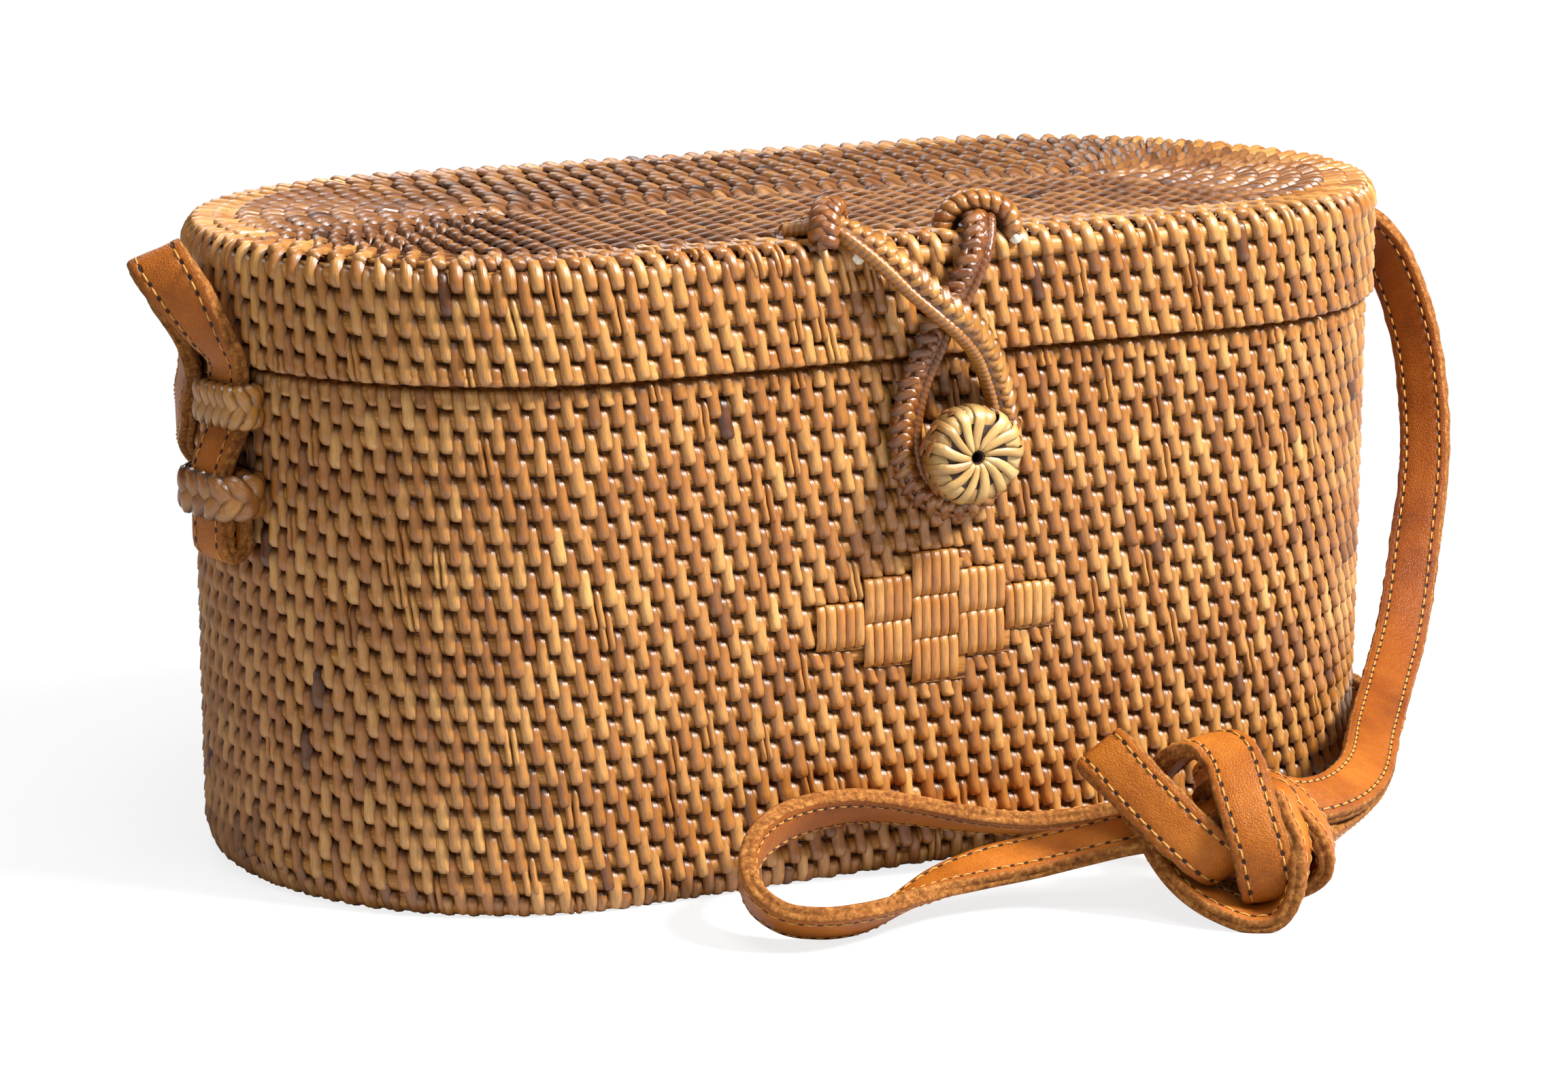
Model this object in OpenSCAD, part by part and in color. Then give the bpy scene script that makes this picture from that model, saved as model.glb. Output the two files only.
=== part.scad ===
// Basket bag: an oval basket of coiled and stitched cane rods with a hinged lid,
// a button and loop closure, and a shoulder strap of doubled leather that is
// taken up with an overhand knot and lies beside the bag.
// Millimetres, +Z up, button side at -Y, origin at the middle of the foot.

/* [Basket] */
// Length of the straight part of each long side
straight_l = 142; // [120:1:220]
// Radius of the rounded ends, measured over the rods
end_r = 68; // [56:0.5:90]
// Height of one rod in the basket wall
rod_pitch = 4.7; // [4:0.1:6]
// Rods stacked in the basket wall
wall_rods = 24; // [22:1:32]
// Wall thickness from a rod's crest to the smooth inside
wall_t = 4.6; // [3.6:0.1:6]
// How far a rod's crest stands out of the groove beside it
rod_relief = 1.2; // [0.6:0.1:1.6]
// Thickness of the base
base_t = 4.6; // [3.6:0.1:7]
// Rounding of the bottom edge
foot_r = 6; // [4:0.5:9]
// Coils across the base, from its edge to the middle
base_coils = 14; // [8:1:16]
// Depth of the groove between two coils of the base
base_groove = 0.8; // [0.4:0.1:1.2]

/* [Lid] */
// Rods in the lid's skirt
lid_rods = 5; // [4:1:7]
// Height of one rod in the skirt
lid_pitch = 4.75; // [4:0.05:6]
// How far the lid stands out past the basket wall
lid_overhang = 1.6; // [0.6:0.1:3]
// Gap between the lid and the basket's rim
lid_gap = 0.3; // [0.2:0.05:0.6]
// Coils across the top, from its edge to the middle
top_coils = 14; // [8:1:16]
// Rise of the top coils above the corner rod
lid_crown = 1.6; // [0:0.1:2.4]
// Thickness of the lid's top
lid_t = 4.8; // [3.6:0.1:7]

/* [Diamond] */
// Height of the diamond's middle above the floor
motif_z = 55; // [35:1:80]
// Width of one raised block
block_w = 10.6; // [8:0.1:10.8]
// Sideways step from one row of blocks to the next
block_step = 11; // [11:0.1:13]
// Blocks in the diamond's widest row
motif_blocks = 3; // [1:1:4]
// How far a block stands out of the rods
block_relief = 0.8; // [0.3:0.1:1.5]

/* [Button] */
// Button's place to the right of the middle
button_x = 0; // [-10:0.5:10]
// Drop of the button's middle below the rim
button_drop = 19.7; // [16:0.1:26]
// Diameter of the button
button_d = 19.5; // [14:0.5:24]
// Thickness of the button's head
button_t = 6.6; // [5:0.1:9]
// Small hole in the middle of the button
button_hole_d = 2.6; // [1.5:0.1:4]
// Diameter of the wound shank
shank_d = 7; // [5:0.5:9]
// Length of the wound shank
shank_l = 7.2; // [6.8:0.1:10]

/* [Closure loop] */
// Width of the braided loop cord
loop_w = 6.8; // [5:0.1:8]
// Thickness of the braided loop cord
loop_t = 4.4; // [3:0.1:5]
// Diameter of the knots that hold the loop's ends
knot_d = 12; // [9:0.5:15]
// Height of those knots
knot_h = 8.4; // [6:0.1:11]
// Left knot's place to the left of the middle
knot_left_x = 28.5; // [18:0.5:32]
// Right knot's place to the right of the middle
knot_right_x = 10; // [8:0.5:30]
// Left knot's distance from the lid's front edge
knot_left_in = 6.1; // [6:0.1:20]
// Right knot's distance from the lid's front edge
knot_right_in = 7.6; // [6:0.1:20]

/* [Hinge] */
// Distance of each hinge from the middle
hinge_x = 48; // [30:1:60]
// Radius of the wound hinge barrel
hinge_r = 2.6; // [2:0.1:3.5]
// Length of each of the hinge's three wound stretches
hinge_wrap_l = 6; // [4:0.5:9]
// Height of the woven tongue on the basket and on the lid
tongue_h = 13; // [8:0.5:18]
// Thickness of the tongue
tongue_t = 1.6; // [1:0.1:2.4]
// Running gap of the hinge
hinge_gap = 0.4; // [0.3:0.05:0.8]

/* [Strap holders] */
// Turn of each holder away from the end's outermost line, in degrees
holder_turn = 12; // [0:1:30]
// Height of one woven ring
ring_h = 9.4; // [7:0.1:12]
// Thickness of a ring's woven wall
ring_wall = 1.6; // [1.4:0.1:3]
// Gap between a ring and the basket's rods
ring_seat = 0.3; // [0.2:0.05:0.6]
// Drop of the upper ring's top edge below the rim
upper_drop = 2.6; // [2:0.1:5]
// Clear height between the two rings
ring_space = 9.2; // [9:0.1:14]

/* [Strap] */
// Width of the strap
strap_w = 12; // [9:0.1:14]
// Thickness of the strap, two layers of leather
strap_t = 3.8; // [2.6:0.1:4.4]
// Clearance round the strap in its rings
strap_gap = 0.3; // [0.2:0.05:0.5]
// Length of the folded end below the lower ring
fold_drop = 10.6; // [8:0.1:16]

/* [Hidden] */
$fn = 96;
rod_fn = 24;
cane = [0.72, 0.49, 0.25];
dark_cane = [0.55, 0.34, 0.16];
straw = [0.86, 0.72, 0.47];
tan_leather = [0.72, 0.43, 0.20];

// Heights and radii that follow from the sizes above
eps = 0.01;
rim_z = wall_rods * rod_pitch;
lid_z = rim_z + lid_gap;
lid_r = end_r + lid_overhang;
lid_skirt_h = lid_rods * lid_pitch;
lid_top_z = lid_z + lid_skirt_h + lid_crown;
top_pitch = lid_r / top_coils;
base_pitch = end_r / base_coils;

// Hinge line along X behind the lid's lower edge
hinge_y = lid_r + hinge_gap + hinge_r;
hinge_z = rim_z + lid_gap / 2;

// Strap holder: radial places of the strap's strands, measured out from the rods
strand_step = strap_t + 2 * strap_gap;
upper_x = ring_seat + ring_wall + strand_step / 2;
inner_x = upper_x;
outer_x = inner_x + strand_step;
fold_x = (inner_x + outer_x) / 2;
upper_ring_z = rim_z - upper_drop - ring_h;
lower_ring_z = upper_ring_z - ring_space - ring_h;
lean_low_z = lower_ring_z + ring_h + 1;
lean_high_z = upper_ring_z - 0.6;
fold_z = lower_ring_z - fold_drop + strand_step;
strap_top_z = rim_z + lid_gap + 1;

// Cords: each place on a route comes with a direction across the cord.
// Closure loop: from the left knot over the lid's edge, over its own other strand,
// behind the button, and back under the crossing to the right knot. The direction
// points away from what the flat braid lies on.
up = [0, 0, 1];
edge = [0, -1, 1];
front = [0, -1, 0];
loop_route = [
    [[-28.5, -63.5, 141.6], up], [[-25.6, -66.6, 141.4], [0, -0.4, 1]], [[-22.4, -70.2, 139.4], edge],
    [[-17.4, -73.8, 135.1], [0, -1, 0.4]], [[-11.4, -75.8, 129.4], front], [[-6.3, -77.8, 124.7], front],
    [[-0.6, -77.4, 120], front], [[5.2, -74.8, 114.3], front], [[9.4, -72.4, 107.5], front],
    [[11.8, -71.5, 101.1], front], [[12.6, -71.4, 94.6], front], [[11.6, -71.4, 88], front],
    [[7.6, -71.4, 83], front], [[1, -71.4, 81.4], front], [[-5, -71.4, 83.2], front],
    [[-9.4, -71.4, 87.6], front], [[-11.1, -71.4, 93.6], front], [[-11, -71.4, 100.5], front],
    [[-9.7, -71.6, 106.6], front], [[-8.1, -72.2, 111.6], front], [[-5.8, -72.7, 116.6], front],
    [[-2.9, -72.7, 122.4], front], [[0.3, -72.7, 126.8], front], [[2.9, -73.4, 132.3], front],
    [[5.2, -72.4, 136.8], [0, -1, 0.5]], [[7.2, -69.4, 140.6], edge], [[8.8, -65.6, 141.7], [0, -0.2, 1]],
    [[10, -62, 141.6], up],
];

// Strap: the direction is that of its width.
// Left run: from the left holder over its arch, down behind the bag, on edge
// along the back and round the right end to the knot
left_route = [
    [[-141.5, -15, 114.2], [0.21, -0.98, 0]], [[-144.8, -14.8, 119.6], [0.4, -0.9, 0.1]],
    [[-148.3, -14, 125.5], [0.6, -0.75, 0.25]], [[-152, -12, 131.8], [0.78, -0.5, 0.35]],
    [[-154, -8.8, 135.6], [0.82, -0.42, 0.38]], [[-152.9, -4.8, 133.4], [0.88, -0.2, 0.3]],
    [[-150.5, -2, 127], [0.85, 0.2, 0.2]], [[-147.6, 1.5, 119], [0.65, 0.7, 0.1]],
    [[-144.8, 6.5, 110], [0.4, 0.9, 0.05]], [[-142.4, 13, 101.5], [0.3, 0.95, 0]],
    [[-136.5, 27.2, 93], [0.35, 0.9, 0.1]], [[-126, 47, 82], [0.3, 0.85, 0.25]],
    [[-114.5, 62.8, 68], [0.2, 0.7, 0.5]], [[-104, 71, 54], [0.3, 0.6, 0.5]],
    [[-95, 76, 40], [0.4, 0.4, 0.7]],
    [[-86, 78.5, 26], [0.5, 0.2, 0.8]], [[-75, 79, 14], [0.4, 0, 0.9]],
    [[-60, 79, 7.8], [0.1, 0, 1]], [[-42, 78.5, 6.2], up], [[-20, 78, 6.2], up], [[4, 78, 6.2], up],
    [[28, 78.5, 6.2], up], [[52, 79, 6.2], up], [[76, 78, 6.2], up], [[98, 73, 6.2], up],
    [[116, 65, 6.2], up], [[130, 53, 6.2], up], [[140.5, 37, 6.2], up], [[146, 18, 6.2], up],
    [[147.5, -5, 6.2], up], [[143, -29, 6.2], up], [[133.5, -46, 6.2], up], [[122, -60.5, 6.2], up],
    [[112, -74, 6.4], [0.2, -0.25, 0.9]], [[98.5, -87, 6.2], [0.4, -0.45, 0.7]],
    [[84.5, -98.5, 6], [0.45, -0.55, 0.65]], [[71, -109, 6.3], [0.4, -0.5, 0.7]],
    [[61, -114.5, 7], [0.35, -0.45, 0.75]],
];

// Right run: from the right holder over its arch, down in front of the end to the knot
right_route = [
    [[141.5, 15, 114.2], [0.21, -0.98, 0]], [[142.8, 15.1, 118.6], [0.21, -0.98, 0]],
    [[148.4, 15, 122.2], [0.25, -0.95, 0.1]], [[156, 14.4, 122.6], [0.4, -0.9, 0.2]],
    [[163, 13, 119.6], [0.55, -0.8, 0.2]], [[168, 11, 113.4], [0.7, -0.7, 0.1]],
    [[171, 7.6, 104.5], [0.8, -0.6, 0.1]], [[172.4, 1.5, 90.5], [0.88, -0.47, 0]],
    [[169.2, -8, 67.5], [0.9, -0.43, 0]], [[158.5, -20, 45.5], [0.9, -0.43, -0.1]],
    [[146, -33.5, 30], [0.88, -0.45, -0.15]], [[129.7, -50.9, 22], [0.86, -0.45, -0.2]],
    [[111.6, -70.8, 18.2], [0.84, -0.45, -0.25]], [[93.4, -90.7, 16.6], [0.8, -0.45, -0.4]],
    [[78.2, -104.2, 18], [0.78, -0.45, -0.35]], [[66.9, -107.5, 19], [0.7, -0.4, -0.4]],
    [[56, -109.5, 20], [0.6, -0.4, -0.5]],
];

// Bight: the loop of strap beyond the knot. Its far side leans on the basket and its
// near side stands on the floor, with its width tipped towards the front.
function tipped(angle) = [-0.46 * cos(angle), -0.89 * cos(angle), sin(angle)];
bight_route = [
    [[46, -102, 17], tipped(25)], [[43, -89, 12], tipped(25)], [[34.5, -80, 9.8], tipped(25)],
    [[26.4, -76.4, 8.6], tipped(25)], [[16.8, -74.8, 8.8], tipped(25)], [[3.4, -74.4, 11.4], tipped(28)],
    [[-10.1, -74.6, 15.1], tipped(32)], [[-20.2, -74.8, 17.4], tipped(36)],
    [[-29.1, -75.4, 18.4], tipped(40)], [[-39.3, -77.4, 18.4], tipped(43)],
    [[-47.8, -81, 17.5], tipped(44)], [[-55, -86.5, 15.4], tipped(43)], [[-59.2, -92.8, 12.4], tipped(41)],
    [[-59.8, -98.6, 9], tipped(39)], [[-56.4, -104, 6.2], tipped(37)], [[-50, -107.4, 5.3], tipped(36)],
    [[-42, -107.8, 5], tipped(33)], [[-34, -105.3, 4.8], tipped(24)], [[-26, -101.5, 5.3], tipped(12)],
    [[-16, -98.8, 7], tipped(-3)], [[-6.5, -99, 8.7], tipped(-14)], [[2, -101, 10.1], tipped(-18)],
    [[10, -104, 11.9], tipped(-18)], [[19.8, -110.6, 15.4], tipped(-18)], [[30, -117, 17.5], tipped(-18)],
];

// Overhand knot on the doubled strap: centres and radii of its round lumps
strap_knot_lumps = [
    [[19, -104, 24], 8.5], [[38, -111, 23.5], 9.5], [[20, -124, 11.5], 9], [[37, -131, 11.5], 9.5],
    [[53, -129, 13], 10], [[60, -108, 14.5], 12],
];

// Sweep a half profile, drawn in [distance out from the middle line, height],
// round an oval of two half circles joined by straight sides.
module oval_sweep(length) {
    for (side = [-1, 1])
        translate([side * length / 2, 0, 0])
            rotate([0, 0, -side * 90])
                rotate_extrude(angle = 180)
                    children();
    translate([-length / 2, 0, 0])
        rotate([90, 0, 90])
            linear_extrude(length) {
                children();
                mirror([1, 0])
                    children();
            }
}

// Inward shift of a rod that lies at height z on the rounded bottom edge
function foot_inset(z) = z < foot_r ? foot_r - sqrt(foot_r * foot_r - pow(foot_r - z, 2)) : 0;

module basket_profile() {
    core_r = end_r - rod_relief;
    difference() {
        union() {
            square([core_r - foot_r, rim_z]);
            translate([0, foot_r])
                square([core_r, rim_z - foot_r]);
            translate([core_r - foot_r, foot_r])
                circle(foot_r);
            for (i = [0 : wall_rods - 1]) {
                z = (i + 0.5) * rod_pitch;
                translate([end_r - rod_pitch / 2 - foot_inset(z), z])
                    circle(d = rod_pitch, $fn = rod_fn);
            }
        }
        translate([-eps, base_t])
            square([end_r - wall_t + eps, rim_z]);
        for (j = [2 : base_coils - 2])
            translate([j * base_pitch, 0])
                rotate(45)
                    square(base_groove * sqrt(2), center = true);
    }
}

module diamond() {
    block_h = 1.7 * rod_pitch;
    for (row = [1 - motif_blocks : motif_blocks - 1]) {
        count = motif_blocks - abs(row);
        for (k = [0 : count - 1])
            translate([(2 * k - count + 1) * block_step - block_w / 2,
                       -end_r - block_relief,
                       motif_z - row * rod_pitch - block_h / 2])
                cube([block_w, rod_relief + block_relief + eps, block_h]);
    }
}

module basket_body() {
    color(cane) {
        oval_sweep(straight_l)
            basket_profile();
        diamond();
    }
}

module lid_profile() {
    core_r = lid_r - rod_relief;
    difference() {
        union() {
            translate([0, lid_z])
                square([core_r, lid_skirt_h - lid_pitch / 2]);
            translate([0, lid_z])
                square([lid_r - 1.5 * top_pitch, lid_top_z - rod_relief - lid_z]);
            for (i = [0 : lid_rods - 1])
                translate([lid_r - lid_pitch / 2, lid_z + (i + 0.5) * lid_pitch])
                    circle(d = lid_pitch, $fn = rod_fn);
            for (j = [1 : top_coils - 1])
                translate([lid_r - (j + 0.5) * top_pitch, lid_top_z - top_pitch / 2])
                    circle(d = top_pitch, $fn = rod_fn);
        }
        translate([-top_pitch, lid_z - lid_pitch])
            square([lid_r - wall_t + top_pitch, lid_top_z - lid_t - lid_z + lid_pitch]);
    }
}

module lid() {
    color(cane)
        oval_sweep(straight_l)
            lid_profile();
}

// Place on the front wall where the button stands, +Z pointing away from the wall
module at_button() {
    translate([button_x, -end_r - ring_seat, rim_z - button_drop])
        rotate([90, 0, 0])
            children();
}

module button_shank() {
    color(dark_cane)
        at_button()
            cylinder(h = shank_l, d = shank_d);
}

module button() {
    rim_r = button_t / 2;
    color(straw)
        at_button()
            translate([0, 0, shank_l])
                rotate_extrude()
                    difference() {
                        union() {
                            square([button_d / 2 - rim_r, button_t]);
                            translate([button_d / 2 - rim_r, rim_r])
                                circle(rim_r);
                        }
                        translate([-eps, -eps])
                            square([button_hole_d / 2 + eps, button_t + 2 * eps]);
                    }
}

// Half profile of woven strands stacked from height 0 to h, from radius inner to outer
module strand_profile(inner, outer, h, strands) {
    d = h / strands;
    translate([inner, 0])
        square([max(outer - inner - d / 3, eps), h]);
    intersection() {
        translate([inner, 0])
            square([outer - inner, h]);
        for (i = [0 : strands - 1])
            translate([outer - d / 2, (i + 0.5) * d])
                circle(d = d, $fn = rod_fn);
    }
}

module lid_knot(x, inset) {
    color(dark_cane)
        translate([x, inset - lid_r, lid_top_z + ring_seat / 2])
            rotate_extrude()
                strand_profile(0, knot_d / 2, knot_h, 3);
}

module lid_knot_left() {
    lid_knot(-knot_left_x, knot_left_in);
}

module lid_knot_right() {
    lid_knot(knot_right_x, knot_right_in);
}

// Closed tube through the places on a route; a section's first measure lies along
// the place's own direction, its second across it
function unit(v) = v / norm(v);
function heading(p, i) = unit(p[min(i + 1, len(p) - 1)] - p[max(i - 1, 0)]);
function ring_at(p, direction, i, section) =
    let (t = heading(p, i), n = unit(cross(t, direction)), side = cross(n, t))
    [for (s = section) p[i] + side * s[0] + n * s[1]];

module swept_tube(route, section) {
    k = len(section);
    last = len(route) - 1;
    places = [for (r = route) r[0]];
    points = [for (i = [0 : last]) each ring_at(places, route[i][1], i, section)];
    sides = [
        for (i = [0 : last - 1], j = [0 : k - 1])
            let (a = i * k + j, b = i * k + (j + 1) % k)
            each [[a, a + k, b + k], [a, b + k, b]]
    ];
    caps = [[for (j = [0 : k - 1]) j], [for (j = [k - 1 : -1 : 0]) last * k + j]];
    polyhedron(points, concat(sides, caps), convexity = 10);
}

loop_section = [for (j = [0 : 9]) [loop_t / 2 * cos(36 * j), loop_w / 2 * sin(36 * j)]];
edge_cut = strap_t / 4;
half_w = strap_w / 2;
half_t = strap_t / 2;
strap_section = [
    [half_w, edge_cut - half_t], [half_w, half_t - edge_cut],
    [half_w - edge_cut, half_t], [edge_cut - half_w, half_t],
    [-half_w, half_t - edge_cut], [-half_w, edge_cut - half_t],
    [edge_cut - half_w, -half_t], [half_w - edge_cut, -half_t],
];

module strap_tube(route) {
    color(tan_leather)
        swept_tube(route, strap_section);
}

module closure_loop() {
    color(dark_cane)
        swept_tube(loop_route, loop_section);
}

// Wound barrel on the hinge line with a link to the woven tongue on the wall behind it
module hinge_barrel(x, length, wall_y, tongue_z) {
    side = tongue_z > hinge_z ? 1 : -1;
    translate([x - length / 2, 0, 0])
        rotate([90, 0, 90])
            linear_extrude(length) {
                translate([hinge_y, hinge_z])
                    circle(hinge_r);
                polygon([
                    [wall_y, tongue_z], [wall_y + tongue_t, tongue_z],
                    [hinge_y, hinge_z + side * hinge_r], [hinge_y, hinge_z - side * hinge_r],
                ]);
            }
}

module hinge_tongue(x, wall_y, low_z) {
    width = 3 * hinge_wrap_l;
    translate([x - width / 2, wall_y, low_z])
        cube([width, tongue_t, tongue_h]);
}

module hinge_body(x) {
    wall_y = end_r + ring_seat;
    top_z = rim_z - hinge_r;
    color(dark_cane) {
        for (side = [-1, 1])
            hinge_barrel(x + side * (hinge_wrap_l + hinge_gap), hinge_wrap_l - hinge_gap, wall_y, top_z);
        hinge_tongue(x, wall_y, top_z - tongue_h);
    }
}

module hinge_lid(x) {
    wall_y = lid_r + ring_seat;
    low_z = lid_z + hinge_r + hinge_gap;
    color(dark_cane) {
        hinge_barrel(x, hinge_wrap_l - hinge_gap, wall_y, low_z);
        hinge_tongue(x, wall_y, low_z);
    }
}

module hinge_body_left() {
    hinge_body(-hinge_x);
}

module hinge_body_right() {
    hinge_body(hinge_x);
}

module hinge_lid_left() {
    hinge_lid(-hinge_x);
}

module hinge_lid_right() {
    hinge_lid(hinge_x);
}

// Place on an end wall where a strap holder sits: +X away from the wall, +Z up
module at_holder(side) {
    translate([side * straight_l / 2, 0, 0])
        rotate([0, 0, holder_turn + (side < 0 ? 180 : 0)])
            translate([end_r, 0, 0])
                children();
}

// Woven ring round a slot for strap strands that lie side by side
module holder_ring(x, z, strands) {
    slot_r = strands * strand_step / 2;
    slot_l = strap_w - 0.7 * slot_r;
    color(dark_cane)
        translate([x, 0, z])
            rotate([0, 0, 90])
                oval_sweep(slot_l)
                    strand_profile(slot_r, slot_r + ring_wall, ring_h, 3);
}

module ring_upper(side) {
    at_holder(side)
        holder_ring(upper_x, upper_ring_z, 1);
}

module ring_lower(side) {
    at_holder(side)
        holder_ring(fold_x, lower_ring_z, 2);
}

module ring_upper_left() {
    ring_upper(-1);
}

module ring_lower_left() {
    ring_lower(-1);
}

module ring_upper_right() {
    ring_upper(1);
}

module ring_lower_right() {
    ring_lower(1);
}

// Strap end in its holder: down through both rings, folded in and up behind itself
module strap_end_profile() {
    fold_mid_r = strand_step / 2;
    translate([upper_x - half_t, lean_high_z])
        square([strap_t, strap_top_z - lean_high_z]);
    polygon([
        [outer_x - half_t, lean_low_z], [outer_x + half_t, lean_low_z],
        [upper_x + half_t, lean_high_z], [upper_x - half_t, lean_high_z],
    ]);
    translate([outer_x - half_t, fold_z])
        square([strap_t, lean_low_z - fold_z]);
    translate([inner_x - half_t, fold_z])
        square([strap_t, lean_low_z - fold_z]);
    translate([fold_x, fold_z])
        intersection() {
            difference() {
                circle(fold_mid_r + half_t);
                circle(fold_mid_r - half_t);
            }
            translate([-strand_step, -2 * strand_step])
                square([2 * strand_step, 2 * strand_step]);
        }
}

module strap_end(side) {
    color(tan_leather)
        at_holder(side)
            translate([0, half_w, 0])
                rotate([90, 0, 0])
                    linear_extrude(strap_w)
                        strap_end_profile();
}

module strap_end_left() {
    strap_end(-1);
}

module strap_end_right() {
    strap_end(1);
}

module strap_left_run() {
    strap_tube(left_route);
}

module strap_right_run() {
    strap_tube(right_route);
}

module strap_bight() {
    strap_tube(bight_route);
}

module strap_knot() {
    color(tan_leather)
        hull()
            for (lump = strap_knot_lumps)
                translate(lump[0])
                    sphere(lump[1], $fn = 24);
}

basket_body();
lid();
button();
button_shank();
lid_knot_left();
lid_knot_right();
closure_loop();
hinge_body_left();
hinge_body_right();
hinge_lid_left();
hinge_lid_right();
ring_upper_left();
ring_lower_left();
ring_upper_right();
ring_lower_right();
strap_end_left();
strap_end_right();
strap_left_run();
strap_right_run();
strap_bight();
strap_knot();
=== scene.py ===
"""Oval coiled-cane basket bag with a leather strap: the dressed object and its studio.

Sizes are in millimetres, as in the part's source, and MM turns them into metres.
"""

import logging
import math
from dataclasses import dataclass, replace
from enum import Enum

import bpy
import numpy as np
from mathutils import Matrix


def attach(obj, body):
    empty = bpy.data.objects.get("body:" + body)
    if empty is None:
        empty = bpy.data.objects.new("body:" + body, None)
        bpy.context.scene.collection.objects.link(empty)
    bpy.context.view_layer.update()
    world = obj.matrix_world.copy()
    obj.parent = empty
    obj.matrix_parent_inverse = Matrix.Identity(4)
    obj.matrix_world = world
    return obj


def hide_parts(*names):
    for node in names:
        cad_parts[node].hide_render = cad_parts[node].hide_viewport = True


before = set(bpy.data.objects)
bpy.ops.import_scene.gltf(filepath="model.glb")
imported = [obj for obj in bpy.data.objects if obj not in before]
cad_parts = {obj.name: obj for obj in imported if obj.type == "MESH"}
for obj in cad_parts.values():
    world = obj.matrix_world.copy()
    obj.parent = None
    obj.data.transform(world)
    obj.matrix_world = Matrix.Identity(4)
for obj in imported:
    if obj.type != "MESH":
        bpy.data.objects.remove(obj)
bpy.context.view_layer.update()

Array = np.ndarray
Colour = tuple[float, float, float]
Place = tuple[float, float, float]
Lot = dict[str, Array]
Socket = bpy.types.NodeSocket
LOG = logging.getLogger("basket_bag")
MM = 0.001
TAU = 2 * math.pi
PHOTO_WIDTH = 2305
SENSOR = 36.0
UV_NAME = "weave"
WHITE = (1.0, 1.0, 1.0)

# Measures of the part's source
ROD = 4.7
STRAIGHT = 142.0
WALL_RADIUS = 68.0
WALL_TOP = 112.8
WALL_RODS = 24
LID_RADIUS = 69.6
LID_LOW = 113.1
HINGES = (-48.0, 48.0)
HOLDER_TURN = math.radians(12)
HOLDER_ACROSS = (0.208, -0.978, 0.0)


class Body(Enum):
    """The two bodies of the bag."""

    BASKET = "basket"
    LID = "lid"


class Slot(Enum):
    """The record's material slots."""

    CANE = "cane"
    CANE_DARK = "cane_dark"
    STRAW = "straw"
    LEATHER = "leather"


# Small geometry helpers


def unit(v: Array) -> Array:
    """Vectors scaled to length one."""
    return v / np.maximum(np.linalg.norm(v, axis=-1, keepdims=True), 1e-12)


def distance_along(line: Array) -> Array:
    """Distance from a line's start to each of its places."""
    return np.concatenate([[0], np.cumsum(np.linalg.norm(np.diff(line, axis=0), axis=1))])


def layered(*parts: Array) -> Array:
    """Arrays stretched to one layout and stacked along a new last axis."""
    return np.stack(np.broadcast_arrays(*parts), -1)


def circle(count: int) -> tuple[Array, Array]:
    """Cosines and sines of evenly spaced angles."""
    turn = np.linspace(0, TAU, count, endpoint=False)
    return np.cos(turn), np.sin(turn)


def each(values: Array) -> Array:
    """One value for each copy, set out for a stack of grids."""
    return values[:, None, None]


def strip_uv(wide: Array, run: Array, apart: float) -> Array:
    """Texture places of a stack of strips, set apart so that each has fibres of its own."""
    return layered(wide + each(apart * np.arange(len(wide))), run)


def toned(rng: np.random.Generator, middle: Array | float, spread: float, count: int) -> Array:
    """Tones drawn about a middle one."""
    return np.clip(middle + rng.normal(0, spread, count), 0, 1)


def patch_quads(count: int, rows: int, cols: int, around: bool, ring: bool) -> Array:
    """Faces of a stack of grids: each joins a grid place with the next ones in its row and column.

    Args:
        count: how many grids.
        rows: places along each grid.
        cols: places across each grid.
        around: whether the last column joins the first.
        ring: whether the last row joins the first.

    Returns:
        Vertex numbers, four to a face, facing outward for rows that run down and columns that run right.
    """
    r = np.arange(rows if ring else rows - 1)
    c = np.arange(cols if around else cols - 1)
    rr, cc = np.meshgrid(r, c, indexing="ij")
    r2, c2 = (rr + 1) % rows, (cc + 1) % cols
    quad = np.stack([rr * cols + cc, r2 * cols + cc, r2 * cols + c2, rr * cols + c2], -1).reshape(-1, 4)
    return (quad[None] + each(np.arange(count) * rows * cols)).reshape(-1, 4)


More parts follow.
